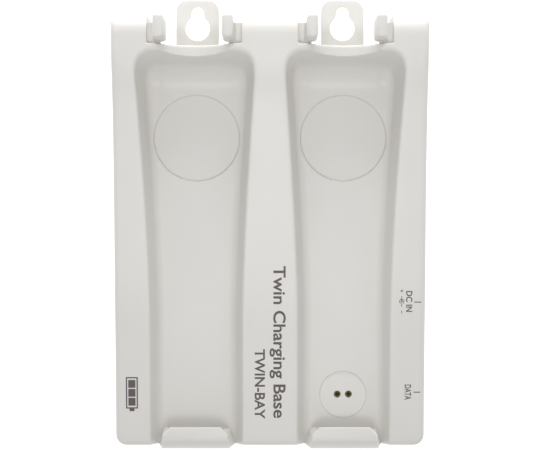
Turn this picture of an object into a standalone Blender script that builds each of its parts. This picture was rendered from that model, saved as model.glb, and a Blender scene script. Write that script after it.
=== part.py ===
"""Two-bay battery charge dock: a moulded housing with two cradle bays, its rear cover, and the
charging electronics under the right-hand bay. Metres, +Z out of the bays, +Y towards the hangers."""

import math

import bpy
from mathutils import Matrix, Vector

MM = 0.001

# Overall body
BODY_WIDTH = 142.0 * MM
BODY_LENGTH = 196.2 * MM
HANGER_REACH = 10.2 * MM
CORNER_RADIUS = 5.0 * MM
WALL = 2.2 * MM
GAP = 0.3 * MM

# Levels above the surface that the dock lies on
FOOT_HEIGHT = 2.0 * MM
COVER_THICKNESS = 2.0 * MM
BOARD_STANDOFF = 0.8 * MM
BOARD_THICKNESS = 1.2 * MM

# Front face: share of the body length from its lower edge, and level
FACE_PROFILE = (
    (0.000, 16.0 * MM),
    (0.108, 17.7 * MM),
    (0.225, 20.0 * MM),
    (0.368, 23.7 * MM),
    (0.506, 26.4 * MM),
    (0.623, 29.0 * MM),
    (0.730, 32.8 * MM),
    (0.806, 36.4 * MM),
    (0.883, 41.4 * MM),
    (0.913, 42.7 * MM),
)
CROWN_LEVEL = 43.2 * MM
CROWN_RADIUS = 9.5 * MM

# Cradle bays
SIDE_LAND = 16.0 * MM
BAY_HALF_WIDTH = 21.2 * MM
BAY_FLARE = 6.4 * MM
BAY_FLARE_START = 0.30
BAY_END_GAP = 15.5 * MM
BAY_END_RADIUS = 11.5 * MM
BAY_WALL_RUN = 3.6 * MM
BAY_FILLET = 3.0 * MM
BAY_FLOOR_HIGH = 15.5 * MM
BAY_FLOOR_RISE = 0.9
SADDLE_RADIUS = 16.0 * MM
SADDLE_LEVEL = 45.6 * MM
SADDLE_LENGTH = 40.0 * MM
THUMB_RADIUS = 19.75 * MM
THUMB_FROM_TOP = 54.5 * MM
THUMB_DEPTH = 1.0 * MM

# Neck notch, its clips and the hanger tabs
NOTCH_HALF_WIDTH = 21.2 * MM
NOTCH_LENGTH = 14.6 * MM
CLIP_X = 15.2 * MM
CLIP_THICKNESS = 4.8 * MM
CLIP_WIDTH = 9.5 * MM
CLIP_FROM_TOP = 2.8 * MM
CLIP_TIP = 60.0 * MM
CLIP_ROOT_LEVEL = 38.5 * MM
CLIP_WEB = 3.2 * MM
TAB_HALF_WIDTH = 10.0 * MM
TAB_THICKNESS = 3.0 * MM
TAB_CORNER = 6.0 * MM
KEYHOLE_RADIUS = 5.75 * MM
KEYHOLE_SLOT_RADIUS = 2.9 * MM
KEYHOLE_FROM_TIP = 13.0 * MM
KEYHOLE_SLOT_FROM_TIP = 5.9 * MM

# Foot lips of the bays
LIP_LEVEL = 32.0 * MM
LIP_REACH = 10.3 * MM
LIP_HALF_WIDTH = 14.8 * MM
LIP_BASE_HALF_WIDTH = 17.5 * MM
LIP_CHAMFER = 4.0 * MM
LIP_WALL = 2.5 * MM
LIP_GUSSET_REACH = 7.7 * MM
LIP_SETBACK = 0.25 * MM

# Charging contacts
CONTACT_FROM_BOTTOM = 23.1 * MM
CONTACT_PITCH = 5.2 * MM
DISC_RADIUS = 10.75 * MM
DISC_FLANGE = 12.4 * MM
DISC_FLANGE_THICKNESS = 0.7 * MM
BARREL_RADIUS = 1.3 * MM
BARREL_BORE = 0.95 * MM
BARREL_MOUTH = 0.8 * MM
BARREL_SETBACK = 0.7 * MM
BARREL_TAIL = 0.2 * MM
FIT = 0.2 * MM
PLUNGER_RADIUS = 0.6 * MM
PLUNGER_COLLAR = 0.82 * MM
PLUNGER_PROUD = 0.7 * MM
SPRING_WIRE = 0.14 * MM
SPRING_TURNS = 4.5

# Sockets in the right-hand side
JACK_FROM_BOTTOM = 66.4 * MM
JACK_WIDTH = 9.5 * MM
JACK_HEIGHT = 9.0 * MM
JACK_DEPTH = 11.0 * MM
JACK_NOSE = 3.9 * MM
JACK_BORE = 2.75 * MM
JACK_PIN = 1.0 * MM
PORT_FROM_BOTTOM = 24.8 * MM
PORT_WIDTH = 7.7 * MM
PORT_HEIGHT = 4.0 * MM
PORT_DEPTH = 9.4 * MM
PORT_SHEET = 0.4 * MM
SOCKET_SETBACK = 0.4 * MM

# Board
BOARD_FROM_BOTTOM = 13.7 * MM
BOARD_PAST_JACK = 12.8 * MM
BOARD_UNDER_WALL = 0.8 * MM
BOARD_ARM_END = 3.0 * MM
BOARD_ARM_BELOW = 9.0 * MM
BOARD_ARM_ABOVE = 11.0 * MM
BOARD_SCREW_INSET = 3.4 * MM
STANDOFF_RADIUS = 2.5 * MM

# Fasteners and feet
SCREW_INSET = 8.0 * MM
SCREW_FROM_TOP = 23.0 * MM
MIDDLE_SCREW_FROM_BOTTOM = 46.0 * MM
MIDDLE_SCREW_FROM_TOP = 36.0 * MM
SCREW_SHANK = 1.25 * MM
SCREW_HEAD = 2.6 * MM
SCREW_HEAD_HEIGHT = 1.9 * MM
SCREW_LENGTH = 8.2 * MM
SCREW_CUP_DEPTH = 2.6 * MM
SCREW_CUP_FLOOR = 1.2 * MM
BOSS_RADIUS = 3.0 * MM
CUP_RADIUS = 4.2 * MM
BOARD_SCREW_SHANK = 1.1 * MM
BOARD_SCREW_HEAD = 2.1 * MM
BOARD_SCREW_HEAD_HEIGHT = 1.4 * MM
RECESS_SLOT = 0.3 * MM
RECESS_DEPTH = 0.9 * MM
RIB_THICKNESS = 1.2 * MM
RIB_HEIGHT = 2.4 * MM
FOOT_RADIUS = 5.0 * MM
FOOT_SEAT = 0.6 * MM
FOOT_INSET = 17.0 * MM
LABEL_SIZE = (46.0 * MM, 28.0 * MM)
LABEL_THICKNESS = 0.3 * MM
LABEL_SEAT = 0.5 * MM

# Places that follow from the sizes above
TOP_Y = (BODY_LENGTH + HANGER_REACH) / 2 - HANGER_REACH
BOTTOM_Y = TOP_Y - BODY_LENGTH
TAB_TIP_Y = TOP_Y + HANGER_REACH
COVER_TOP = FOOT_HEIGHT + COVER_THICKNESS
HOUSING_FOOT = COVER_TOP + GAP
BOARD_LEVEL = COVER_TOP + BOARD_STANDOFF
BOARD_TOP = BOARD_LEVEL + BOARD_THICKNESS
PARTS_LEVEL = BOARD_TOP + GAP
CUP_TOP = FOOT_HEIGHT + SCREW_CUP_DEPTH + SCREW_CUP_FLOOR
BOSS_FOOT = CUP_TOP + GAP
BOARD_SCREW_FOOT = FOOT_HEIGHT + 1.1 * MM
JACK_AXIS = PARTS_LEVEL + JACK_HEIGHT * 0.55
BAY_X = BODY_WIDTH / 2 - SIDE_LAND - BAY_HALF_WIDTH
NOTCH_Y = TOP_Y - NOTCH_LENGTH
CONTACT_Y = BOTTOM_Y + CONTACT_FROM_BOTTOM
JACK_Y = BOTTOM_Y + JACK_FROM_BOTTOM
PORT_Y = BOTTOM_Y + PORT_FROM_BOTTOM
SIDE_INNER_X = BODY_WIDTH / 2 - WALL
LAND_X = BODY_WIDTH / 2 - SIDE_LAND
FLANGE_LOW_Y = CONTACT_Y - DISC_FLANGE
FLANGE_FLOOR = PARTS_LEVEL + DISC_FLANGE_THICKNESS + GAP + WALL
DISC_HOLE_RADIUS = BARREL_RADIUS + FIT
CLEAR_TOP = CLIP_TIP + 20 * MM
BEYOND = 12 * MM

CASE_SCREWS = (
    (-BODY_WIDTH / 2 + SCREW_INSET, BOTTOM_Y + SCREW_INSET),
    (BODY_WIDTH / 2 - SCREW_INSET, BOTTOM_Y + SCREW_INSET),
    (-BODY_WIDTH / 2 + SCREW_INSET, TOP_Y - SCREW_FROM_TOP),
    (BODY_WIDTH / 2 - SCREW_INSET, TOP_Y - SCREW_FROM_TOP),
    (0.0, BOTTOM_Y + MIDDLE_SCREW_FROM_BOTTOM),
    (0.0, TOP_Y - MIDDLE_SCREW_FROM_TOP),
)
BOARD_LEFT_X = LAND_X - BOARD_UNDER_WALL
BOARD_RIGHT_X = SIDE_INNER_X - WALL
BOARD_BOTTOM_Y = BOTTOM_Y + BOARD_FROM_BOTTOM
BOARD_TOP_Y = JACK_Y + BOARD_PAST_JACK
BOARD_SCREWS = (
    (BOARD_LEFT_X + BOARD_SCREW_INSET, BOARD_BOTTOM_Y + BOARD_SCREW_INSET),
    (BOARD_LEFT_X + 2 * BOARD_SCREW_INSET, BOARD_TOP_Y - BOARD_SCREW_INSET),
    (BOARD_ARM_END + BOARD_SCREW_INSET, CONTACT_Y),
)


# Materials and small helpers


def material(name, colour, roughness, metallic=0.0):
    made = bpy.data.materials.new(name)
    made.use_nodes = True
    shader = made.node_tree.nodes["Principled BSDF"]
    shader.inputs["Base Color"].default_value = (*colour, 1.0)
    shader.inputs["Roughness"].default_value = roughness
    shader.inputs["Metallic"].default_value = metallic
    made.diffuse_color = (*colour, 1.0)
    return made


def add_object(name, verts, faces, finish=None, place=(0.0, 0.0, 0.0)):
    mesh = bpy.data.meshes.new(name)
    mesh.from_pydata([tuple(v) for v in verts], [], faces)
    made = bpy.data.objects.new(name, mesh)
    made.location = place
    bpy.context.collection.objects.link(made)
    if finish:
        mesh.materials.append(finish)
        made.parent = DOCK
    return made


def loft(name, rings, finish=None, place=(0.0, 0.0, 0.0)):
    """A closed solid through rings of equal point count, anticlockwise seen from its last ring."""
    count = len(rings[0])
    verts = [point for ring in rings for point in ring]
    faces = [list(range(count))[::-1]]
    for row in range(len(rings) - 1):
        low, high = row * count, (row + 1) * count
        for i in range(count):
            j = (i + 1) % count
            faces.append([low + i, low + j, high + j, high + i])
    last = (len(rings) - 1) * count
    faces.append([last + i for i in range(count)])
    return add_object(name, verts, faces, finish, place)


def prism(name, outline, low, high, finish=None, place=(0.0, 0.0, 0.0)):
    return loft(name, [[(x, y, z) for x, y in outline] for z in (low, high)], finish, place)


def box(name, x, y, z, finish=None, place=(0.0, 0.0, 0.0)):
    outline = [(x[0], y[0]), (x[1], y[0]), (x[1], y[1]), (x[0], y[1])]
    return prism(name, outline, z[0], z[1], finish, place)


def turned(name, profile, sides, finish=None, place=(0.0, 0.0, 0.0)):
    """A solid turned about +Z from (radius, level) steps, running from its foot to its top."""
    rings = []
    for radius, level in profile:
        rings.append([(radius * math.cos(a), radius * math.sin(a), level) for a in turns(sides)])
    return loft(name, rings, finish, place)


def turns(sides):
    return [2 * math.pi * i / sides for i in range(sides)]


def arc(centre, radius, start, end, steps):
    """Points of an arc, angles in degrees."""
    points = []
    for i in range(steps + 1):
        angle = math.radians(start + (end - start) * i / steps)
        points.append((centre[0] + radius * math.cos(angle), centre[1] + radius * math.sin(angle)))
    return points


def rounded_rectangle(x, y, radius, steps=5):
    corners = ((x[1], y[0], -90), (x[1], y[1], 0), (x[0], y[1], 90), (x[0], y[0], 180))
    points = []
    for corner_x, corner_y, start in corners:
        centre = (
            corner_x - math.copysign(radius, corner_x - sum(x) / 2),
            corner_y - math.copysign(radius, corner_y - sum(y) / 2),
        )
        points += arc(centre, radius, start, start + 90, steps)
    return points


def boolean(target, operation, *others):
    for other in others:
        step = target.modifiers.new(other.name, "BOOLEAN")
        step.operation = operation
        step.solver = "EXACT"
        step.object = other
        other.hide_render = True
        other.display_type = "WIRE"
    return target


def cut(target, *cutters):
    return boolean(target, "DIFFERENCE", *cutters)


def join(target, *others):
    return boolean(target, "UNION", *others)


def common(target, *others):
    return boolean(target, "INTERSECT", *others)


def lay(target, place, axis):
    """Turns a piece made about +Z by a quarter turn round an axis, and puts it at a place."""
    turn = Matrix.Rotation(math.pi / 2, 4, axis)
    target.matrix_basis = Matrix.Translation(Vector(place)) @ turn
    return target


def smooth_round(target, angle=35.0):
    target.data.shade_smooth()
    target.data.set_sharp_from_angle(angle=math.radians(angle))
    return target


# Shape of the front face and the bays


def along(y):
    return (y - BOTTOM_Y) / BODY_LENGTH


def stepped(points, at):
    """Straight interpolation through (place, value) points."""
    for (low, first), (high, second) in zip(points, points[1:]):
        if at <= high:
            return first + (second - first) * max(at - low, 0.0) / (high - low)
    return points[-1][1]


def face_outline():
    """Points (y, z) of the front face from the lower edge over the crown to the upper edge."""
    points = [(BOTTOM_Y + share * BODY_LENGTH, level) for share, level in FACE_PROFILE]
    centre = (TOP_Y - CROWN_RADIUS, CROWN_LEVEL - CROWN_RADIUS)
    return points + arc(centre, CROWN_RADIUS, 90, 0, 6)


def face_level(y):
    return stepped(face_outline(), y)


def floor_level(y):
    """The bay floor: it clears the contact insert's flange and rises evenly towards the end wall."""
    low = along(FLANGE_LOW_Y)
    share = (min(along(y), BAY_FLOOR_RISE) - low) / (BAY_FLOOR_RISE - low)
    return FLANGE_FLOOR + (BAY_FLOOR_HIGH - FLANGE_FLOOR) * share


def disc_level():
    return floor_level(CONTACT_Y) - 0.1 * MM


def bay_half_width(y):
    flare = max(along(y) - BAY_FLARE_START, 0.0) / (BAY_FLOOR_RISE - BAY_FLARE_START)
    return BAY_HALF_WIDTH + BAY_FLARE * min(flare, 1.0) ** 1.5


def bay_ring(inset, level_of):
    """One level of a bay: its U-shaped outline drawn in by inset, closed below the body."""
    end_y = TOP_Y - BAY_END_GAP
    arc_y = end_y - BAY_END_RADIUS
    stations = [BOTTOM_Y - BEYOND, BOTTOM_Y]
    stations += [BOTTOM_Y + share * BODY_LENGTH for share in (0.15, 0.3, 0.4, 0.5, 0.6, 0.68, 0.76)]
    side = [(bay_half_width(y) - inset, y) for y in stations]
    centre = (bay_half_width(arc_y) - BAY_END_RADIUS, arc_y)
    side += arc(centre, BAY_END_RADIUS - inset, 0, 90, 7)
    outline = side + [(-x, y) for x, y in reversed(side)]
    return [(x, y, level_of(y)) for x, y in outline]


def bay_solid(name, centre_x, grow=0.0, lower=0.0):
    """The space of a bay from its floor to above the face, grown sideways and lowered on request."""
    rings = []
    for step in (1.0, 0.55, 0.2, 0.0):
        inset = BAY_WALL_RUN * (1 - 0.25 * (1 - step) ** 2) + BAY_FILLET * step**2 - grow
        rise = BAY_FILLET * (1 - step) ** 2
        rings.append(bay_ring(inset, lambda y, rise=rise: floor_level(y) + rise - lower))
    above = 2 * MM - lower
    crown_y = TOP_Y - CROWN_RADIUS
    wider = -grow - 0.4 * MM
    rings.append(bay_ring(wider, lambda y: face_level(min(y, crown_y)) + above))
    rings.append(bay_ring(wider, lambda y: CLEAR_TOP))
    return loft(name, rings, place=(centre_x, 0.0, 0.0))


def body_outline(inset):
    half = BODY_WIDTH / 2 - inset
    radius = max(CORNER_RADIUS - inset, 1 * MM)
    return rounded_rectangle((-half, half), (BOTTOM_Y + inset, TOP_Y - inset), radius)


def under_face(name, lower):
    """A block reaching across the body, its upper side the front face lowered by a wall."""
    outline = [(y, z - lower) for y, z in face_outline()]
    outline = [(BOTTOM_Y - BEYOND, outline[0][1])] + outline + [(TOP_Y + BEYOND, outline[-1][1])]
    outline += [(TOP_Y + BEYOND, 0.0), (BOTTOM_Y - BEYOND, 0.0)]
    half = BODY_WIDTH / 2 + BEYOND
    return loft(name, [[(x, y, z) for y, z in outline] for x in (half, -half)])


def notch_block(name, centre_x, grow=0.0):
    half = NOTCH_HALF_WIDTH + grow
    x = (centre_x - half, centre_x + half)
    return box(name, x, (NOTCH_Y - grow, TOP_Y + BEYOND), (-BEYOND, CLEAR_TOP))


# Housing


def clip(name, centre_x, side):
    """A neck clip: a web from the notch's side wall that turns up into a round-tipped post."""
    post = CLIP_X - CLIP_THICKNESS / 2
    back = CLIP_X + CLIP_THICKNESS / 2
    root = NOTCH_HALF_WIDTH + WALL / 2
    bend = CLIP_THICKNESS / 2
    tip = arc((CLIP_X, CLIP_TIP - bend), bend, 0, 180, 6)
    heel = arc((post + bend, CLIP_ROOT_LEVEL - CLIP_WEB + bend), bend, 180, 270, 4)
    outline = heel + [(root, CLIP_ROOT_LEVEL - CLIP_WEB), (root, CLIP_ROOT_LEVEL)]
    outline += [(back, CLIP_ROOT_LEVEL)] + tip
    outline = [(centre_x + side * x, z) for x, z in outline]
    if side < 0:
        outline.reverse()
    y = (TOP_Y - CLIP_FROM_TOP, TOP_Y - CLIP_FROM_TOP - CLIP_WIDTH)
    return loft(name, [[(x, place, z) for x, z in outline] for place in y])


def lip_shell(name, centre_x):
    """A foot lip: a wall that leans in to a flange over the bay, with a gusset on either side."""
    foot = HOUSING_FOOT + WALL
    front_y = BOTTOM_Y + LIP_SETBACK
    flange_y = BOTTOM_Y + LIP_REACH
    top, base = LIP_HALF_WIDTH, LIP_BASE_HALF_WIDTH
    wall = [(-base, foot), (base, foot), (top, LIP_LEVEL), (-top, LIP_LEVEL)]
    ys = (BOTTOM_Y + LIP_WALL, front_y)
    made = loft(name, [[(centre_x + x, y, z) for x, z in wall] for y in ys])
    near = flange_y - LIP_CHAMFER
    flange = [(-top, front_y), (top, front_y), (top, near), (top - LIP_CHAMFER, flange_y)]
    flange += [(LIP_CHAMFER - top, flange_y), (-top, near)]
    flange = [(centre_x + x, y) for x, y in flange]
    join(made, prism(name + "_flange", flange, LIP_LEVEL - LIP_WALL, LIP_LEVEL))
    back_y = front_y + LIP_WALL / 2
    under = LIP_LEVEL - LIP_WALL / 2
    web = [(BOTTOM_Y + LIP_GUSSET_REACH, foot), (near, under), (back_y, under), (back_y, foot)]
    for side in (-1, 1):
        rings = []
        for inset in (LIP_SETBACK, LIP_WALL) if side > 0 else (LIP_WALL, LIP_SETBACK):
            rings.append([])
            for y, z in web:
                lean = (base - top) * (LIP_LEVEL - z) / (LIP_LEVEL - foot)
                rings[-1].append((centre_x + side * (top + lean - inset), y, z))
        join(made, loft(f"{name}_gusset_{side}", rings))
    return made


def cavity_solid():
    """What the shell leaves free inside: the body one wall in, around the bays, notches and bosses."""
    made = prism("cavity", body_outline(WALL), HOUSING_FOOT - BEYOND, CLEAR_TOP)
    common(made, under_face("cavity_face", WALL))
    for side in (-1, 1):
        grown = bay_solid(f"bay_wall_{side}", side * BAY_X, 0.85 * WALL, WALL)
        cut(made, grown, notch_block(f"notch_wall_{side}", side * BAY_X, WALL))
    for index, place in enumerate(CASE_SCREWS, 1):
        steps = ((BOSS_RADIUS, BOSS_FOOT), (BOSS_RADIUS, CLEAR_TOP + BEYOND))
        cut(made, turned(f"boss_{index}", steps, 16, place=(*place, 0.0)))
    return made


def front_housing(finish):
    outline = body_outline(0.0)
    made = prism("front_housing", outline, HOUSING_FOOT, CLEAR_TOP, finish)
    common(made, under_face("front_face", 0.0))
    cut(made, cavity_solid())
    for side in (-1, 1):
        centre_x = side * BAY_X
        cut(made, bay_solid(f"bay_{side}", centre_x), notch_block(f"notch_{side}", centre_x))
        steps = ((SADDLE_RADIUS, 0.0), (SADDLE_RADIUS, SADDLE_LENGTH))
        saddle = turned(f"saddle_{side}", steps, 40)
        lay(saddle, (centre_x, TOP_Y + BEYOND, SADDLE_LEVEL), "X")
        thumb_y = TOP_Y - THUMB_FROM_TOP
        steps = ((THUMB_RADIUS, floor_level(thumb_y) - WALL), (THUMB_RADIUS, CLEAR_TOP - BEYOND))
        thumb = turned(f"thumb_{side}", steps, 48, place=(centre_x, thumb_y, 0.0))
        common(thumb, bay_solid(f"thumb_bay_{side}", centre_x, 0.85 * THUMB_DEPTH, THUMB_DEPTH))
        cut(made, saddle, thumb)
        join(made, lip_shell(f"lip_{side}", centre_x))
        join(made, clip(f"clip_inner_{side}", centre_x, -1), clip(f"clip_outer_{side}", centre_x, 1))
    for index, place in enumerate(CASE_SCREWS, 1):
        top = FOOT_HEIGHT + SCREW_CUP_DEPTH + SCREW_LENGTH
        steps = ((SCREW_SHANK + FIT, BOSS_FOOT - MM), (SCREW_SHANK + FIT, top))
        cut(made, turned(f"pilot_{index}", steps, 12, place=(*place, 0.0)))
    steps = ((DISC_RADIUS + GAP, HOUSING_FOOT), (DISC_RADIUS + GAP, BAY_FLOOR_HIGH))
    cut(made, turned("disc_hole", steps, 40, place=(BAY_X, CONTACT_Y, 0.0)))
    steps = ((JACK_NOSE + GAP, -WALL), (JACK_NOSE + GAP, WALL + BEYOND))
    jack_hole = turned("jack_hole", steps, 28)
    cut(made, lay(jack_hole, (SIDE_INNER_X, JACK_Y, JACK_AXIS), "Y"))
    half = PORT_WIDTH / 2 + 2 * GAP
    port_z = (PARTS_LEVEL - GAP, PARTS_LEVEL + PORT_HEIGHT + 2 * GAP)
    outer = (SIDE_INNER_X - WALL, SIDE_INNER_X + WALL + BEYOND)
    cut(made, box("port_hole", outer, (PORT_Y - half, PORT_Y + half), port_z))
    return made


# Rear cover


def hanger_tab(name, centre_x):
    low = NOTCH_Y - 2 * WALL
    x = (centre_x - TAB_HALF_WIDTH, centre_x + TAB_HALF_WIDTH)
    wide_x = (x[0] - MM, x[1] + MM)
    outline = [(x[0], low), (x[1], low)]
    outline += arc((x[1] - TAB_CORNER, TAB_TIP_Y - TAB_CORNER), TAB_CORNER, 0, 90, 6)
    outline += arc((x[0] + TAB_CORNER, TAB_TIP_Y - TAB_CORNER), TAB_CORNER, 90, 180, 6)
    made = prism(name, outline, FOOT_HEIGHT, FOOT_HEIGHT + TAB_THICKNESS)
    root_y = (low - MM, NOTCH_Y + GAP)
    cut(made, box(name + "_root", wide_x, root_y, (COVER_TOP - FIT, CLEAR_TOP)))
    steps = (FOOT_HEIGHT - MM, FOOT_HEIGHT + TAB_THICKNESS + MM)
    wide_y = TAB_TIP_Y - KEYHOLE_FROM_TIP
    slot_y = TAB_TIP_Y - KEYHOLE_SLOT_FROM_TIP
    wide = [(KEYHOLE_RADIUS, z) for z in steps]
    slot = rounded_rectangle(
        (centre_x - KEYHOLE_SLOT_RADIUS, centre_x + KEYHOLE_SLOT_RADIUS),
        (wide_y - KEYHOLE_SLOT_RADIUS, slot_y + KEYHOLE_SLOT_RADIUS),
        0.98 * KEYHOLE_SLOT_RADIUS,
    )
    cut(made, turned(name + "_keyhole", wide, 32, place=(centre_x, wide_y, 0.0)))
    return cut(made, prism(name + "_slot", slot, *steps))


def locating_rib():
    """A low wall inside the housing's walls that keeps the two shells in line."""
    levels = (FOOT_HEIGHT + COVER_THICKNESS / 2, PARTS_LEVEL - GAP)
    outer, inner_side = WALL + GAP, WALL + GAP + RIB_THICKNESS
    made = prism("locating_rib", body_outline(outer), *levels)
    inner = prism("locating_rib_inside", body_outline(inner_side), -BEYOND, CLEAR_TOP)
    for side in (-1, 1):
        cut(made, notch_block(f"rib_notch_{side}", side * BAY_X, outer))
        cut(inner, notch_block(f"rib_notch_inside_{side}", side * BAY_X, inner_side))
    return cut(made, inner)


def rear_cover(finish):
    made = prism("rear_cover", body_outline(0.0), FOOT_HEIGHT, COVER_TOP, finish)
    for side in (-1, 1):
        cut(made, notch_block(f"cover_notch_{side}", side * BAY_X))
    join(made, locating_rib())
    for side in (-1, 1):
        join(made, hanger_tab(f"hanger_tab_{side}", side * BAY_X))
        x = (side * BAY_X - RIB_THICKNESS / 2, side * BAY_X + RIB_THICKNESS / 2)
        y = (CONTACT_Y + 2 * DISC_FLANGE, TOP_Y - 2 * SCREW_FROM_TOP)
        levels = (FOOT_HEIGHT + MM, COVER_TOP + RIB_HEIGHT)
        join(made, box(f"cover_rib_{side}", x, y, levels))
    for index, place in enumerate(CASE_SCREWS, 1):
        levels = (FOOT_HEIGHT + MM, CUP_TOP)
        cup = turned(f"cup_{index}", [(CUP_RADIUS, z) for z in levels], 20, place=(*place, 0.0))
        common(cup, prism(f"cup_limit_{index}", body_outline(WALL + GAP), -MM, CLEAR_TOP))
        join(made, cup)
        wide = SCREW_HEAD + GAP
        steps = ((wide, FOOT_HEIGHT - MM), (wide, FOOT_HEIGHT + SCREW_CUP_DEPTH))
        head = turned(f"head_hole_{index}", steps, 20, place=(*place, 0.0))
        steps = ((SCREW_SHANK + FIT, FOOT_HEIGHT), (SCREW_SHANK + FIT, CLEAR_TOP))
        cut(made, head, turned(f"shank_hole_{index}", steps, 12, place=(*place, 0.0)))
    for index, place in enumerate(BOARD_SCREWS, 1):
        steps = ((STANDOFF_RADIUS, FOOT_HEIGHT + MM), (STANDOFF_RADIUS, BOARD_LEVEL - GAP))
        join(made, turned(f"standoff_{index}", steps, 16, place=(*place, 0.0)))
        bore = BOARD_SCREW_SHANK + FIT
        steps = ((bore, BOARD_SCREW_FOOT - GAP), (bore, CLEAR_TOP))
        cut(made, turned(f"standoff_bore_{index}", steps, 12, place=(*place, 0.0)))
    for index, place in enumerate(foot_places(), 1):
        steps = ((FOOT_RADIUS + GAP, 0.0), (FOOT_RADIUS + GAP, FOOT_HEIGHT + FOOT_SEAT))
        cut(made, turned(f"foot_seat_{index}", steps, 28, place=(*place, 0.0)))
    x, y = [(-(size / 2 + GAP), size / 2 + GAP) for size in LABEL_SIZE]
    return cut(made, box("label_seat", x, y, (0.0, FOOT_HEIGHT + LABEL_SEAT)))


def foot_places():
    x = BODY_WIDTH / 2 - FOOT_INSET
    rows = (BOTTOM_Y + FOOT_INSET, NOTCH_Y - FOOT_INSET)
    return [(side * x, y) for y in rows for side in (-1, 1)]


def feet(finish):
    top = FOOT_HEIGHT + FOOT_SEAT - GAP
    steps = ((FOOT_RADIUS - 0.5 * MM, 0.0), (FOOT_RADIUS, 0.5 * MM), (FOOT_RADIUS, top))
    for index, place in enumerate(foot_places(), 1):
        smooth_round(turned(f"rubber_foot_{index}", steps, 28, finish, (*place, 0.0)))


def case_screws(finish):
    """Pan-head screws driven from the rear, each with a cross-shaped driver recess."""
    seat = SCREW_CUP_DEPTH - GAP
    steps = (
        (SCREW_HEAD - 0.4 * MM, seat - SCREW_HEAD_HEIGHT),
        (SCREW_HEAD, seat - SCREW_HEAD_HEIGHT + 0.5 * MM),
        (SCREW_HEAD, seat),
        (SCREW_SHANK, seat + 0.01 * MM),
        (SCREW_SHANK, seat + SCREW_LENGTH - MM),
        (0.5 * SCREW_SHANK, seat + SCREW_LENGTH),
    )
    for index, place in enumerate(CASE_SCREWS, 1):
        at = (*place, FOOT_HEIGHT)
        screw = turned(f"case_screw_{index}", steps, 20, finish, at)
        cross_recess(screw, f"case_screw_{index}", at, seat - SCREW_HEAD_HEIGHT, 1.6 * MM, -1)
        smooth_round(screw)


def cross_recess(screw, name, place, level, reach, inward):
    for turn in (0, 1):
        x, y = (reach, RECESS_SLOT) if turn else (RECESS_SLOT, reach)
        z = (level - MM, level + RECESS_DEPTH)
        if inward > 0:
            z = (level - RECESS_DEPTH, level + MM)
        blade = box(f"{name}_blade_{turn}", (-x, x), (-y, y), z, place=place)
        cut(screw, blade)


# Electronics


def main_board(finish):
    """A board with a strip for the sockets under the right land and an arm under the contacts."""
    left, right = BOARD_LEFT_X, BOARD_RIGHT_X
    arm = (CONTACT_Y - BOARD_ARM_BELOW, CONTACT_Y + BOARD_ARM_ABOVE)
    outline = [(left, BOARD_BOTTOM_Y), (right, BOARD_BOTTOM_Y), (right, BOARD_TOP_Y)]
    outline += [(left, BOARD_TOP_Y), (left, arm[1]), (BOARD_ARM_END, arm[1])]
    outline += [(BOARD_ARM_END, arm[0]), (left, arm[0])]
    made = prism("main_board", outline, BOARD_LEVEL, BOARD_TOP, finish)
    for index, place in enumerate(BOARD_SCREWS, 1):
        steps = ((BOARD_SCREW_SHANK + FIT, 0.0), (BOARD_SCREW_SHANK + FIT, CLEAR_TOP))
        cut(made, turned(f"board_hole_{index}", steps, 12, place=(*place, 0.0)))
    for side in (-1, 1):
        steps = ((BARREL_RADIUS + FIT, 0.0), (BARREL_RADIUS + FIT, CLEAR_TOP))
        place = (BAY_X + side * CONTACT_PITCH / 2, CONTACT_Y, 0.0)
        cut(made, turned(f"barrel_hole_{side}", steps, 16, place=place))
    return made


def board_screws(finish):
    head = PARTS_LEVEL
    steps = (
        (0.5 * BOARD_SCREW_SHANK, BOARD_SCREW_FOOT),
        (BOARD_SCREW_SHANK, BOARD_SCREW_FOOT + 0.5 * MM),
        (BOARD_SCREW_SHANK, head - 0.01 * MM),
        (BOARD_SCREW_HEAD, head),
        (BOARD_SCREW_HEAD, head + BOARD_SCREW_HEAD_HEIGHT - 0.4 * MM),
        (BOARD_SCREW_HEAD - 0.5 * MM, head + BOARD_SCREW_HEAD_HEIGHT),
    )
    for index, place in enumerate(BOARD_SCREWS, 1):
        screw = turned(f"board_screw_{index}", steps, 18, finish, (*place, 0.0))
        top = head + BOARD_SCREW_HEAD_HEIGHT
        cross_recess(screw, f"board_screw_{index}", (*place, 0.0), top, 1.2 * MM, 1)
        smooth_round(screw)


def contact_disc(finish):
    """The insert that carries the contacts, held under the bay floor by its flange."""
    steps = (
        (DISC_FLANGE, PARTS_LEVEL),
        (DISC_FLANGE, PARTS_LEVEL + DISC_FLANGE_THICKNESS),
        (DISC_RADIUS, PARTS_LEVEL + DISC_FLANGE_THICKNESS + 0.01 * MM),
        (DISC_RADIUS, disc_level() - 0.2 * MM),
        (DISC_RADIUS - 0.2 * MM, disc_level()),
    )
    made = turned("contact_disc", steps, 40, finish, (BAY_X, CONTACT_Y, 0.0))
    for side in (-1, 1):
        steps = ((DISC_HOLE_RADIUS, 0.0), (DISC_HOLE_RADIUS, CLEAR_TOP))
        place = (BAY_X + side * CONTACT_PITCH / 2, CONTACT_Y, 0.0)
        cut(made, turned(f"contact_hole_{side}", steps, 20, place=place))
    return smooth_round(made)


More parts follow.
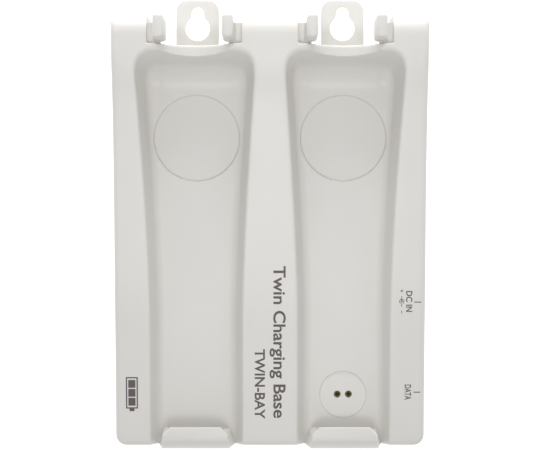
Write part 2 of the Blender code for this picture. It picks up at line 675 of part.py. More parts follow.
def sprung_contact(name, place, gold, steel):
    """A barrel through the board, the plunger that slides in it, and the coil spring beneath."""
    foot, top = BOARD_LEVEL - BARREL_TAIL, disc_level() - BARREL_SETBACK
    floor, throat = foot + 0.5 * MM, top - 0.4 * MM
    steps = ((BARREL_RADIUS, foot), (BARREL_RADIUS, top))
    barrel = turned(f"contact_barrel_{name}", steps, 16, gold, place)
    bore = ((BARREL_BORE, floor), (BARREL_BORE, throat))
    bore += ((BARREL_MOUTH, throat + 0.01 * MM), (BARREL_MOUTH, CLEAR_TOP))
    cut(barrel, turned(f"barrel_bore_{name}", bore, 16, place=place))
    collar_top = throat - 0.2 * MM
    collar_foot = collar_top - 0.5 * MM
    tip = disc_level() + PLUNGER_PROUD
    plunger = (
        (PLUNGER_COLLAR, collar_foot - collar_top),
        (PLUNGER_COLLAR, 0.0),
        (PLUNGER_RADIUS, 0.01 * MM),
        (PLUNGER_RADIUS, tip - collar_top - 0.3 * MM),
        (0.55 * PLUNGER_RADIUS, tip - collar_top),
    )
    pin = turned(f"contact_pin_{name}", plunger, 16, gold, (place[0], place[1], collar_top))
    coil_spring(f"contact_spring_{name}", place, floor + 0.2 * MM, collar_foot - 0.2 * MM, steel)
    smooth_round(barrel)
    smooth_round(pin)


def coil_spring(name, place, low, high, finish):
    per_turn, sides = 12, 6
    radius = BARREL_BORE - SPRING_WIRE - 0.15 * MM
    count = round(SPRING_TURNS * per_turn)
    rise = high - low - 2 * SPRING_WIRE
    rings = []
    for i in range(count + 1):
        angle = 2 * math.pi * i / per_turn
        outward = Vector((math.cos(angle), math.sin(angle), 0.0))
        centre = outward * radius + Vector((0, 0, low + SPRING_WIRE + rise * i / count))
        up = Vector((0, 0, 1))
        around = [outward * math.cos(a) - up * math.sin(a) for a in turns(sides)]
        rings.append([centre + SPRING_WIRE * direction for direction in around])
    return smooth_round(loft(name, rings, finish, (place[0], place[1], 0.0)), 60)


def dc_jack(plastic, brass):
    x = (SIDE_INNER_X - GAP - JACK_DEPTH, SIDE_INNER_X - GAP)
    y = (JACK_Y - JACK_WIDTH / 2, JACK_Y + JACK_WIDTH / 2)
    body = box("dc_jack_body", x, y, (PARTS_LEVEL, PARTS_LEVEL + JACK_HEIGHT), plastic)
    mouth = BODY_WIDTH / 2 - SOCKET_SETBACK
    back = x[0] + 1.5 * MM
    nose = turned("dc_jack_nose", ((JACK_NOSE, 0.0), (JACK_NOSE, mouth - x[1] + MM)), 28)
    join(body, lay(nose, (x[1] - MM, JACK_Y, JACK_AXIS), "Y"))
    bore = turned("dc_jack_bore", ((JACK_BORE, 0.0), (JACK_BORE, mouth - back + MM)), 28)
    cut(body, lay(bore, (back, JACK_Y, JACK_AXIS), "Y"))
    length = mouth - back - 1.2 * MM
    steps = ((JACK_PIN, GAP), (JACK_PIN, length - 0.4 * MM), (0.5 * JACK_PIN, length))
    pin = turned("dc_jack_pin", steps, 16, brass)
    smooth_round(lay(pin, (back, JACK_Y, JACK_AXIS), "Y"))
    leaf_x = (back + MM, back + 6 * MM)
    leaf_y = (JACK_Y - 0.7 * MM, JACK_Y + 0.7 * MM)
    leaf_z = JACK_AXIS - JACK_BORE + 0.25 * MM
    box("dc_jack_leaf", leaf_x, leaf_y, (leaf_z, leaf_z + 0.3 * MM), brass)


def data_port(steel, plastic):
    mouth = BODY_WIDTH / 2 - SOCKET_SETBACK
    back = mouth - PORT_DEPTH
    y = (PORT_Y - PORT_WIDTH / 2, PORT_Y + PORT_WIDTH / 2)
    z = (PARTS_LEVEL, PARTS_LEVEL + PORT_HEIGHT)
    shell = box("port_shell", (back, mouth), y, z, steel)
    inner_y = (y[0] + PORT_SHEET, y[1] - PORT_SHEET)
    inner_z = (z[0] + PORT_SHEET, z[1] - PORT_SHEET)
    cut(shell, box("port_inside", (back + MM, mouth + MM), inner_y, inner_z))
    middle = (z[0] + z[1]) / 2
    tongue_x = (back + MM + GAP, mouth - 0.8 * MM)
    tongue_y = (PORT_Y - 2.4 * MM, PORT_Y + 2.4 * MM)
    box("port_tongue", tongue_x, tongue_y, (middle - 0.5 * MM, middle + 0.5 * MM), plastic)


def board_parts(dark, metal):
    """Packages on the strip, each given by its centre, plan size and height."""
    strip = LAND_X + 6 * MM
    blocks = (
        ("power_inductor", strip + 0.5 * MM, JACK_Y - 10.8 * MM, 6.4, 6.4, 3.2, dark),
        ("charger_chip", strip - 0.5 * MM, JACK_Y - 18.6 * MM, 5.0, 4.2, 1.3, dark),
        ("controller_chip", strip - 0.5 * MM, JACK_Y - 28.0 * MM, 7.0, 7.0, 1.2, dark),
        ("timing_crystal", strip + 5.2 * MM, JACK_Y - 26.0 * MM, 2.4, 3.4, 1.0, metal),
        ("board_fuse", BAY_X - 18 * MM, CONTACT_Y + 5 * MM, 3.2, 1.8, 0.9, metal),
    )
    for name, x, y, wide, long, high, finish in blocks:
        half_x, half_y = wide * MM / 2, long * MM / 2
        z = (PARTS_LEVEL, PARTS_LEVEL + high * MM)
        box(name, (x - half_x, x + half_x), (y - half_y, y + half_y), z, finish)
    cans = ((strip + 4.6 * MM, JACK_Y - 19 * MM), (strip - 3.2 * MM, PORT_Y + 6 * MM))
    for index, (x, y) in enumerate(cans, 1):
        steps = ((2.0 * MM, 0.0), (2.0 * MM, 5.0 * MM), (1.7 * MM, 5.3 * MM))
        smooth_round(turned(f"smoothing_capacitor_{index}", steps, 20, metal, (x, y, PARTS_LEVEL)))


def rating_label(finish):
    x, y = [(-size / 2, size / 2) for size in LABEL_SIZE]
    top = FOOT_HEIGHT + LABEL_SEAT - GAP
    box("rating_label", x, y, (top - LABEL_THICKNESS, top), finish)


for old in list(bpy.data.objects):
    bpy.data.objects.remove(old, do_unlink=True)

DOCK = bpy.data.objects.new("dock", None)
bpy.context.collection.objects.link(DOCK)

WHITE = material("warm_white_plastic", (0.72, 0.70, 0.67), 0.45)
RUBBER = material("grey_rubber", (0.12, 0.12, 0.12), 0.8)
BLACK = material("black_plastic", (0.03, 0.03, 0.03), 0.5)
BOARD = material("green_board", (0.03, 0.18, 0.08), 0.4)
GOLD = material("gold_plate", (0.83, 0.62, 0.28), 0.25, 1.0)
STEEL = material("bright_steel", (0.62, 0.62, 0.63), 0.3, 1.0)
PAPER = material("label_film", (0.75, 0.75, 0.76), 0.35)

front_housing(WHITE)
rear_cover(WHITE)
feet(RUBBER)
case_screws(STEEL)
main_board(BOARD)
board_screws(STEEL)
contact_disc(WHITE)
for contact_name, contact_side in (("left", -1), ("right", 1)):
    contact_x = BAY_X + contact_side * CONTACT_PITCH / 2
    sprung_contact(contact_name, (contact_x, CONTACT_Y, 0.0), GOLD, STEEL)
dc_jack(BLACK, GOLD)
data_port(STEEL, BLACK)
board_parts(BLACK, STEEL)
rating_label(PAPER)
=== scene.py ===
import math

import bmesh
import bpy
import numpy as np
from bpy.props import FloatProperty, FloatVectorProperty
from mathutils import Matrix, Vector
from mathutils.geometry import delaunay_2d_cdt


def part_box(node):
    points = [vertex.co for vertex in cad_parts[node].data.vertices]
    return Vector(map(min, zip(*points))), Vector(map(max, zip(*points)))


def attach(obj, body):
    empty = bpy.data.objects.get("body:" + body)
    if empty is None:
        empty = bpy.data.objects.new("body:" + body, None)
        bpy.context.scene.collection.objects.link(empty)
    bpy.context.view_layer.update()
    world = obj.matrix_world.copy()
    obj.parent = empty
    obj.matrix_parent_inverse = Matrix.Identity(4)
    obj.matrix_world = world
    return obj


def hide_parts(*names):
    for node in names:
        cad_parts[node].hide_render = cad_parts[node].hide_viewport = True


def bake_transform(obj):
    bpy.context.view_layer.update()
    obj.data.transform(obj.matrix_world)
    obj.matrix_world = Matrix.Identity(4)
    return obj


bl_info = {
    "name": "Two-bay charge dock",
    "version": (1, 0, 0),
    "blender": (4, 5, 0),
    "location": "View3D > Sidebar > Dock",
    "description": "Builds the visual model of a two-bay battery charge dock around its packed frame",
    "category": "Add Mesh",
}

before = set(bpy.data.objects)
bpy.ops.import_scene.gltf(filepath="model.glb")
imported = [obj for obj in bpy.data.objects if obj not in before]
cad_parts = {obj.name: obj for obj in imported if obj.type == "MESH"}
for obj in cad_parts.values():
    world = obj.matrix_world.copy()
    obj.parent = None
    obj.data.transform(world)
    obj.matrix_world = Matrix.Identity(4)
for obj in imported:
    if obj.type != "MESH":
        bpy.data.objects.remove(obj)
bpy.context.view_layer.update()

MM = 0.001

# Places read from the frame
BODY_LOW, BODY_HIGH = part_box("front_housing")
COVER_LOW, COVER_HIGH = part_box("rear_cover")
DISC_LOW, DISC_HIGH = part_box("contact_disc")
JACK_LOW, JACK_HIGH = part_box("dc_jack_body")
PORT_LOW, PORT_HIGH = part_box("port_shell")
HALF_BODY = BODY_HIGH.x
BOTTOM_Y, TOP_Y = BODY_LOW.y, BODY_HIGH.y
BODY_LENGTH = TOP_Y - BOTTOM_Y
FOOT_Z = BODY_LOW.z
BAY_X = (DISC_LOW.x + DISC_HIGH.x) / 2
CONTACT_Y = (DISC_LOW.y + DISC_HIGH.y) / 2
CORNER_RADIUS = 5.0 * MM

# The front face: share of the length from the lower edge, and level
FACE_PROFILE = (
    (0.000, 16.0 * MM),
    (0.108, 17.7 * MM),
    (0.225, 20.0 * MM),
    (0.368, 23.7 * MM),
    (0.506, 26.4 * MM),
    (0.623, 29.0 * MM),
    (0.730, 32.8 * MM),
    (0.806, 36.4 * MM),
    (0.883, 41.4 * MM),
    (0.913, 42.7 * MM),
)
CROWN_LEVEL = 43.2 * MM
CROWN_RADIUS = 9.5 * MM
CROWN_Y = TOP_Y - CROWN_RADIUS

# Bays
BAY_HALF_WIDTH = 21.2 * MM
BAY_FLARE = 6.4 * MM
BAY_END_Y = TOP_Y - 16.2 * MM
BAY_CORNER = (12.0 * MM, 17.0 * MM)
BAY_CORNER_POWER = 3.0
BAY_WALL_RUN = 3.6 * MM
BAY_END_RUN = 6.8 * MM
BAY_END_RIM = 2.4 * MM
BAY_END_FOOT = 12.5 * MM
FLOOR_AT_CONTACT = DISC_HIGH.z + 0.1 * MM
FLOOR_AT_END = 15.5 * MM
FLOOR_END_Y = BOTTOM_Y + 0.9 * BODY_LENGTH
BOSS_RADIUS = 3.0 * MM
PILOT_RADIUS = 1.45 * MM
SADDLE_RADIUS = 17.6 * MM
SADDLE_LEVEL = 50.6 * MM
THUMB_RADIUS = 19.75 * MM
THUMB_Y = TOP_Y - 54.5 * MM
THUMB_EDGE = 0.8 * MM
END_ZONE_Y = BAY_END_Y - BAY_CORNER[1] - 2 * MM
DISC_HOLE = 10.83 * MM
NOTCH_HALF_WIDTH = 21.2 * MM
NOTCH_Y = TOP_Y - 13.6 * MM
NOTCH_CORNER = 0.9 * MM
NOTCH_LIP = 1.1 * MM

# Foot lips
LIP_TOP = 32.0 * MM
LIP_BASE = 8.0 * MM
LIP_BEND = 5.2 * MM
LIP_WALL = 2.5 * MM
LIP_TIP_Y = BOTTOM_Y + 10.3 * MM
LIP_OUTER_Y = BOTTOM_Y + 0.05 * MM
LIP_HALF_WIDTH = 14.8 * MM
LIP_POCKET_TOP = LIP_TOP - LIP_WALL

# Neck clips
CLIP_X = 15.2 * MM
CLIP_THICKNESS = 4.8 * MM
CLIP_Y = (TOP_Y - 12.3 * MM, TOP_Y - 2.8 * MM)
CLIP_TIP = BODY_HIGH.z
CLIP_FOOT = 34.8 * MM
CLIP_ROOT = 38.6 * MM

# Sockets
JACK_Y = (JACK_LOW.y + JACK_HIGH.y) / 2
JACK_Z = JACK_LOW.z + 0.55 * (JACK_HIGH.z - JACK_LOW.z)
PORT_Y = (PORT_LOW.y + PORT_HIGH.y) / 2
PORT_Z = (PORT_LOW.z + PORT_HIGH.z) / 2

# Hanger tabs
TAB_HALF_WIDTH = 10.0 * MM
TAB_CORNER = 6.0 * MM
TAB_THICKNESS = 3.0 * MM
KEYHOLE_RADIUS = 5.75 * MM
KEYHOLE_SLOT_RADIUS = 2.9 * MM
KEYHOLE_BLEND = 3.2 * MM
KEYHOLE_Y = COVER_HIGH.y - 13.0 * MM
KEYHOLE_SLOT_Y = COVER_HIGH.y - 5.9 * MM
COVER_TOP = FOOT_Z - 0.3 * MM
RIB = 1.2 * MM

# Where the housing's surfaces have points: spacings, and rings at distances inside a bay's rim
FACE_SPACING = 1.3 * MM
INNER_SPACING = 2.5 * MM
EDGE_SHARES = (0.02, 0.08, 0.18, 0.32, 0.5, 0.75, 1.0)
BAY_RINGS = (-1.1, -0.75, -0.45, -0.2, 0.0, 0.2, 0.5, 1.0, 1.6, 2.2, 2.8, 3.3, 3.8, 4.3, 4.9, 5.6, 6.4, 7.4)
BAY_END_RINGS = (8.0, 8.8, 9.6, 10.4, 11.2)
INNER_RINGS = (-3.4, -2.6, -2.0, -1.4, -0.6, 0.4, 1.4, 2.4, 3.6, 5.0, 6.6, 8.6, 10.4)
THUMB_RINGS = (-0.6, -0.42, -0.28, -0.14, 0.0, 0.14, 0.28, 0.42, 0.6)
UNDER_LIP_HALF_WIDTH = 17.4 * MM
NOTCH_BLEND = 1.5 * MM
SAME_POINT = 1e-7
SEAM_GAP = 1e-6

# Round pieces as (radius, height) steps in millimetres
CASE_SCREW_HEAD = ((1.3, 0.0), (2.0, 0.12), (2.4, 0.4), (2.6, 0.85), (2.6, 1.85), (1.25, 1.9))
CASE_SCREW_PITCH = 0.8 * MM
CASE_SCREW_CROSS = 1.6 * MM
BOARD_SCREW_HEAD = ((1.5, 0.0), (1.9, 0.25), (2.1, 0.6), (2.1, 1.35), (1.1, 1.4))
BOARD_SCREW_PITCH = 0.7 * MM
BOARD_SCREW_CROSS = 1.2 * MM
RUBBER_FOOT = ((3.2, 0.35), (3.6, 0.0), (4.3, 0.0), (4.8, 0.15), (5.0, 0.55), (5.0, 2.3))
CAPACITOR_FOOT = ((1.8, 0.0), (2.0, 0.2), (2.0, 0.9), (1.85, 1.05), (1.85, 1.2), (2.0, 1.35))

# Charging contacts
INSERT_FLANGE = 12.4 * MM
PLUNGER_RADIUS = 0.6 * MM
PLUNGER_COLLAR = 0.82 * MM
PLUNGER_DOME = 0.5 * MM
COIL_WIRE = 0.14 * MM
COIL_TURNS = 4.5

# Printed marks: their reach across the dock and along it, with the words' feet and first letter first
INK_DEPTH = 0.06 * MM
INK_PROUD = 0.02 * MM
NAME_ACROSS = (1.7 * MM, 7.2 * MM)
NAME_ALONG = (BOTTOM_Y + 82.9 * MM, BOTTOM_Y + 12.8 * MM)
KIND_ACROSS = (-6.9 * MM, -2.3 * MM)
KIND_ALONG = (BOTTOM_Y + 44.7 * MM, BOTTOM_Y + 12.4 * MM)
JACK_WORDS_ACROSS = (HALF_BODY - 8.8 * MM, HALF_BODY - 6.0 * MM)
JACK_WORDS_ALONG = (JACK_Y + 5.1 * MM, JACK_Y - 4.5 * MM)
PORT_WORDS_ACROSS = (HALF_BODY - 9.1 * MM, HALF_BODY - 6.2 * MM)
PORT_WORDS_ALONG = (PORT_Y + 3.5 * MM, PORT_Y - 3.6 * MM)
BATTERY_ACROSS = (4.8 * MM - HALF_BODY, 10.3 * MM - HALF_BODY)
BATTERY_ALONG = (BOTTOM_Y + 16.0 * MM, BOTTOM_Y + 31.8 * MM)
POLARITY_ACROSS = (HALF_BODY - 12.0 * MM, HALF_BODY - 9.7 * MM)
POINTER_ACROSS = (HALF_BODY - 5.1 * MM, HALF_BODY - 2.0 * MM)
POINTER_HALF = 0.22 * MM

# Stage
FLOOR_SIZE = 6.0
FLOOR_LEVEL = -0.2 * MM
FLOOR_GLOW = 0.6
SKY_STRENGTH = 0.65
KEY_LIGHT = {"place": (0.0, -0.14, 0.6), "aim": (0.0, 0.12, 0.0), "size": 0.12, "power": 0.15, "spread": 70.0}
RIM_LIGHT = {"place": (0.0, 0.9, 0.26), "aim": (0.0, 0.0, 0.0), "size": 0.4, "power": 4.8}
CAMERA_PLACE = (0.0, -1.6 * MM, 0.805)
CAMERA_LENS = 114.2
SENSOR_WIDTH = 36.0
NEAREST_SEEN = 0.01


COLOUR_KIND = {"subtype": "COLOR", "size": 3, "min": 0, "max": 1}


class DockSizes(bpy.types.PropertyGroup):
    wall: FloatProperty(
        name="Wall",
        description="Thickness of the moulded wall",
        default=2.2 * MM,
        unit="LENGTH",
    )
    edge: FloatProperty(
        name="Edge radius",
        description="Radius along the outer edge of the face",
        default=1.8 * MM,
        unit="LENGTH",
    )
    rim: FloatProperty(
        name="Rim radius",
        description="Radius along the rim of each bay",
        default=1.3 * MM,
        unit="LENGTH",
    )
    foot: FloatProperty(
        name="Bay fillet",
        description="Radius between a bay's wall and floor",
        default=4.0 * MM,
        unit="LENGTH",
    )
    notch_edge: FloatProperty(
        name="Notch edge radius",
        description="Radius along the edges of the neck notches",
        default=0.5 * MM,
        unit="LENGTH",
    )
    thumb: FloatProperty(
        name="Thumb recess",
        description="Depth of the round thumb recess",
        default=1.6 * MM,
        unit="LENGTH",
    )


class DockFinish(bpy.types.PropertyGroup):
    plastic: FloatVectorProperty(
        name="Housing",
        description="Colour of the moulded plastic",
        default=(0.71, 0.695, 0.665),
        **COLOUR_KIND,
    )
    cover: FloatVectorProperty(
        name="Cover",
        description="Colour of the rear cover",
        default=(0.75, 0.735, 0.71),
        **COLOUR_KIND,
    )
    ink: FloatVectorProperty(
        name="Ink",
        description="Colour of the printed marks",
        default=(0.105, 0.085, 0.09),
        **COLOUR_KIND,
    )
    rubber: FloatVectorProperty(
        name="Feet",
        description="Colour of the rubber feet",
        default=(0.05, 0.05, 0.052),
        **COLOUR_KIND,
    )


# Shape of the face and the bays


class Curve:
    """A smooth curve through (place, value) points that never overshoots them."""

    def __init__(self, *points):
        self.place, self.value = np.array(points, float).T
        slope = np.diff(self.value) / np.diff(self.place)
        both = slope[:-1] * slope[1:]
        inner = np.where(both > 0, 2 * both / (slope[:-1] + slope[1:] + 1e-12), 0.0)
        self.tangent = np.concatenate([[slope[0]], inner, [slope[-1]]])

    def __call__(self, at):
        i = np.clip(np.searchsorted(self.place, at) - 1, 0, len(self.place) - 2)
        span = self.place[i + 1] - self.place[i]
        t = np.clip((at - self.place[i]) / span, 0, 1)
        first = self.value[i] * (1 + 2 * t) * (1 - t) ** 2 + self.value[i + 1] * t**2 * (3 - 2 * t)
        return first + span * (self.tangent[i] * t * (1 - t) ** 2 + self.tangent[i + 1] * t**2 * (t - 1))


face_curve = Curve(*[(BOTTOM_Y + s * BODY_LENGTH, z) for s, z in FACE_PROFILE], (CROWN_Y, CROWN_LEVEL))


def face_level(y):
    """Level of the front face, which rolls down past the crown."""
    over = np.clip((y - CROWN_Y) / CROWN_RADIUS, 0, 1)
    return face_curve(y) - CROWN_RADIUS * (1 - np.sqrt(1 - over**2))


def floor_level(y):
    """Level of a bay's floor, which rises towards its end."""
    share = (np.minimum(y, FLOOR_END_Y) - CONTACT_Y) / (FLOOR_END_Y - CONTACT_Y)
    return FLOOR_AT_CONTACT + (FLOOR_AT_END - FLOOR_AT_CONTACT) * share


def half_width(y):
    """Half of a bay's width at its rim, which flares towards its end."""
    share = np.clip(((y - BOTTOM_Y) / BODY_LENGTH - 0.3) / 0.6, 0, 1)
    return BAY_HALF_WIDTH + BAY_FLARE * share**1.5


def rounded_inset(a, b, radius):
    """Distance inside a corner from its two sides' distances."""
    corner = (a < radius) & (b < radius)
    return np.where(corner, radius - np.hypot(radius - a, radius - b), np.minimum(a, b))


def from_bay_axis(x):
    return np.abs(np.abs(x) - BAY_X)


def bay_wall(x, y):
    """Distance inside a bay's rim, and 0 to 1 from its side wall round the corner to its end wall."""
    side = np.maximum(1 - (half_width(y) - from_bay_axis(x)) / BAY_CORNER[0], 0)
    end = np.maximum(1 - (BAY_END_Y - y) / BAY_CORNER[1], 0)
    share = soft_step(np.arctan2(end, side) / (math.pi / 2))
    inside = 1 - (side**BAY_CORNER_POWER + end**BAY_CORNER_POWER) ** (1 / BAY_CORNER_POWER)
    return inside * (BAY_CORNER[0] + (BAY_CORNER[1] - BAY_CORNER[0]) * share), share


def bay_inset(x, y):
    return bay_wall(x, y)[0]


def soft_step(t):
    """0 to 1 with a soft start and stop."""
    t = np.clip(t, 0, 1)
    return t * t * (3 - 2 * t)


def edge_drop(inset, radius):
    """How far a rounded edge falls below its face at a distance in from the edge."""
    t = np.clip(1 - inset / radius, 0, 1)
    return radius * (1 - np.sqrt(1 - t**2))


def bay_section(inset, land, floor, run, rim_radius, foot_radius):
    """Level across a bay's wall: land, rounded rim, sloping wall, fillet, floor."""
    angle = np.arctan2(land - floor, run)
    rim, foot = rim_radius * np.tan(angle / 2), foot_radius * np.tan(angle / 2)
    level = np.clip(land - (land - floor) * inset / run, floor, land)
    rim_arc = land - rim_radius + np.sqrt(np.maximum(rim_radius**2 - (inset + rim) ** 2, 0))
    level = np.where((inset > -rim) & (inset < rim * np.cos(angle)), rim_arc, level)
    foot_arc = floor + foot_radius - np.sqrt(np.maximum(foot_radius**2 - (run + foot - inset) ** 2, 0))
    return np.where((inset > run - foot * np.cos(angle)) & (inset < run + foot), foot_arc, level)


def notch_distance(x, y):
    """Distance from the nearest neck notch, outside it."""
    across = from_bay_axis(x) - NOTCH_HALF_WIDTH
    below = NOTCH_Y - y
    return np.where((across > 0) & (below > 0), np.hypot(across, below), np.maximum(across, below))


def body_inset(x, y):
    """Distance inside the body's outline."""
    a = HALF_BODY - np.abs(x)
    low = rounded_inset(a, y - BOTTOM_Y, CORNER_RADIUS)
    high = rounded_inset(a, TOP_Y - y, CORNER_RADIUS)
    return np.where(y < 0, low, np.where(a < CORNER_RADIUS, high, a))


def bay_level(x, y, sizes, land, floor, grow, thick=0.0):
    """Level across a bay grown outwards, for its own surface or one a wall's thickness under it."""
    inset, share = bay_wall(x, y)
    run = BAY_WALL_RUN + (BAY_END_RUN - BAY_WALL_RUN) * share
    rim = sizes.rim + (BAY_END_RIM - sizes.rim) * share
    foot = sizes.foot + (BAY_END_FOOT - sizes.foot) * share
    return bay_section(inset + grow, land, floor, run, max(1 - 2 * thick / MM, 0.3) * rim, foot + thick)


def saddle_level(x, y, thick=0.0):
    """The round saddle cut into the end of each bay, and where it can lie."""
    radius, across = SADDLE_RADIUS + thick, from_bay_axis(x)
    level = SADDLE_LEVEL - np.sqrt(np.maximum(radius**2 - across**2, 0))
    return level, (across < 0.999 * radius) & (y > BAY_END_Y - 10 * MM)


def outer_level(x, y, sizes):
    """The housing's outer surface."""
    land, floor = face_level(y), floor_level(y)
    level = bay_level(x, y, sizes, land, floor, 0.0)
    sunk = bay_level(x, y, sizes, land, floor - sizes.thumb, 0.85 * sizes.thumb)
    thumb = soft_step(0.5 + (THUMB_RADIUS - np.hypot(from_bay_axis(x), y - THUMB_Y)) / THUMB_EDGE)
    level = level + (sunk - level) * thumb
    saddle, near_saddle = saddle_level(x, y)
    soft = 0.7 * MM
    near = np.maximum(soft - np.abs(level - saddle), 0) / soft
    cut = np.minimum(level, saddle) - near**2 * soft / 4
    level = np.where(near_saddle, cut, level)
    fade = 1 - soft_step((y - CROWN_Y) / (CROWN_RADIUS - MM))
    under_lip = (y < 0) * soft_step((UNDER_LIP_HALF_WIDTH - from_bay_axis(x)) / MM)
    fade = fade * (1 - under_lip)
    level = level - fade * edge_drop(body_inset(x, y), sizes.edge)
    broad = soft_step((NOTCH_HALF_WIDTH - from_bay_axis(x)) / NOTCH_BLEND)
    return level - edge_drop(notch_distance(x, y), sizes.notch_edge + (NOTCH_LIP - sizes.notch_edge) * broad)


def inner_level(x, y, sizes):
    """The housing's inner surface, one wall below the outer one."""
    wall = sizes.wall
    land = face_level(np.minimum(y, TOP_Y - 2 * wall)) - wall
    floor = floor_level(y) - wall
    level = bay_level(x, y, sizes, land, floor, 0.85 * wall, wall)
    saddle, near_saddle = saddle_level(x, y, wall)
    return np.where(near_saddle, np.minimum(level, saddle), level)


def arc_points(centre, radius, start, end, steps):
    angles = np.radians(np.linspace(start, end, steps + 1))
    return [(centre[0] + radius * math.cos(a), centre[1] + radius * math.sin(a)) for a in angles]


def body_ring(inset, notch_grow, spacing):
    """The body's outline drawn in by inset, with the notches grown, anticlockwise."""
    half, low, high = HALF_BODY - inset, BOTTOM_Y + inset, TOP_Y - inset
    radius = max(CORNER_RADIUS - inset, 0.3 * MM)
    notch, notch_y = NOTCH_HALF_WIDTH + notch_grow, NOTCH_Y - notch_grow
    small = NOTCH_CORNER
    corners = arc_points((half - radius, low + radius), radius, -90, 0, 12)
    corners += arc_points((half - radius, high - radius), radius, 0, 90, 12)
    for centre in (BAY_X, -BAY_X):
        right, left = centre + notch, centre - notch
        corners += arc_points((right + small, high - small), small, 90, 180, 4)
        corners += arc_points((right - small, notch_y + small), small, 0, -90, 4)
        corners += arc_points((left + small, notch_y + small), small, -90, -180, 4)
        corners += arc_points((left - small, high - small), small, 0, 90, 4)
    corners += arc_points((radius - half, high - radius), radius, 90, 180, 12)
    corners += arc_points((radius - half, low + radius), radius, 180, 270, 12)
    return spaced(corners, spacing, True)


def spaced(points, spacing, closed):
    """The points of a polyline with its long stretches divided."""
    made = []
    ends = points[1:] + points[:1] if closed else points[1:]
    for a, b in zip(points, ends):
        count = max(1, round(math.dist(a, b) / spacing))
        made += [(a[0] + (b[0] - a[0]) * i / count, a[1] + (b[1] - a[1]) * i / count) for i in range(count)]
    return made if closed else made + [points[-1]]


def bay_ring(centre, inset, spacing):
    """A bay's outline drawn in by inset: up one side, round the arch and down the other."""
    corner_y = BAY_END_Y - BAY_CORNER[1]
    steps = round((corner_y - BOTTOM_Y) / spacing)
    ys = np.linspace(BOTTOM_Y, corner_y, steps + 1)
    side = list(zip(half_width(ys) - inset, ys))
    reach, power = 1 - inset / BAY_CORNER[0], 2 / BAY_CORNER_POWER
    for angle in np.linspace(0, math.pi / 2, 33)[1:]:
        y = BAY_END_Y - BAY_CORNER[1] * (1 - reach * math.sin(angle) ** power)
        across = BAY_CORNER[0] * (1 - reach * abs(math.cos(angle)) ** power)
        side.append((float(half_width(y)) - across, y))
    across = spaced([side[-1], (-side[-1][0], side[-1][1])], spacing, False)[1:-1]
    line = side + across + [(-x, y) for x, y in reversed(side)]
    return [(centre + x, y) for x, y in line]


class Plan:
    """Points and lines in plan that a surface is built on."""

    def __init__(self):
        self.points = []
        self.lines = []

    def add_line(self, points, closed=False, keep=None):
        last = None
        first = len(self.points)
        kept = keep(*np.array(points).T) if keep else np.ones(len(points), bool)
        for point, wanted in zip(points, kept):
            if not wanted:
                last = None
                continue
            self.points.append(point)
            if last is not None:
                self.lines.append((last, len(self.points) - 1))
            last = len(self.points) - 1
        if closed:
            self.lines.append((len(self.points) - 1, first))

    def add_circle(self, centre, radius, count):
        self.add_line(arc_points(centre, radius, 0, 360, count)[:-1], True)

    def add_grid(self, xs, ys, keep):
        x, y = (axis.ravel() for axis in np.meshgrid(xs, ys))
        kept = keep(x, y)
        self.points += list(zip(x[kept], y[kept]))

    def surface(self, inside, level):
        """The plan triangulated and lifted, as points and faces, without what lies outside."""
        flat = [Vector(point) for point in self.points]
        found = delaunay_2d_cdt(flat, self.lines, [], 0, 1e-7)
        plan = np.array([tuple(v) for v in found[0]])
        faces = np.array(found[2])
        middle = plan[faces].mean(axis=1)
        faces = faces[inside(middle[:, 0], middle[:, 1])]
        lifted = np.column_stack([plan, level(plan[:, 0], plan[:, 1])])
        return lifted, faces


# Modelling helpers


def sizes_of():
    return bpy.context.scene.dock_sizes


def select_only(*objects):
    bpy.ops.object.select_all(action="DESELECT")
    for each in objects:
        each.select_set(True)
    bpy.context.view_layer.objects.active = objects[0]


def object_from(name, bm):
    mesh = bpy.data.meshes.new(name)
    bm.to_mesh(mesh)
    bm.free()
    made = bpy.data.objects.new(name, mesh)
    bpy.context.collection.objects.link(made)
    return made


def apply_place(piece):
    """Moves a piece's place into its mesh."""
    select_only(piece)
    bpy.ops.object.transform_apply(location=True, rotation=True, scale=True)
    return piece


def apply_modifier(piece, kind, **settings):
    select_only(piece)
    step = piece.modifiers.new(kind, kind)
    for key, value in settings.items():
        setattr(step, key, value)
    bpy.ops.object.modifier_apply(modifier=step.name)
    return piece


def combine(piece, other, operation, solver="MANIFOLD"):
    """Joins or cuts a piece with another, which is used up."""
    apply_modifier(piece, "BOOLEAN", operation=operation, object=other, solver=solver)
    bpy.data.objects.remove(other, do_unlink=True)
    return piece


def bevel_edges(piece, width, segments=3, angle=30.0):
    settings = {"width": width, "segments": segments, "limit_method": "ANGLE"}
    return apply_modifier(piece, "BEVEL", **settings, angle_limit=math.radians(angle))


def smooth(piece, angle=35.0):
    select_only(piece)
    bpy.ops.object.shade_smooth_by_angle(angle=math.radians(angle))
    return piece


def finish_piece(piece, finish, slot, *nodes, body="dock"):
    """Gives a piece its material and puts it on a body in place of CAD nodes."""
    piece.data.materials.clear()
    piece.data.materials.append(finish)
    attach(piece, body)
    if nodes:
        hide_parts(*nodes)
    return piece


def copy_of(piece, name, place):
    """A copy with its own mesh, moved to a place."""
    made = piece.copy()
    made.data = piece.data.copy()
    made.name = name
    made.location = place
    bpy.context.collection.objects.link(made)
    return apply_place(made)


def face_outwards(piece):
    """Turns a closed mesh's faces outwards, as after laying it another way."""
    select_only(piece)
    bpy.ops.object.mode_set(mode="EDIT")
    bpy.ops.mesh.select_all(action="SELECT")
    bpy.ops.mesh.normals_make_consistent(inside=False)
    bpy.ops.object.mode_set(mode="OBJECT")
    return piece


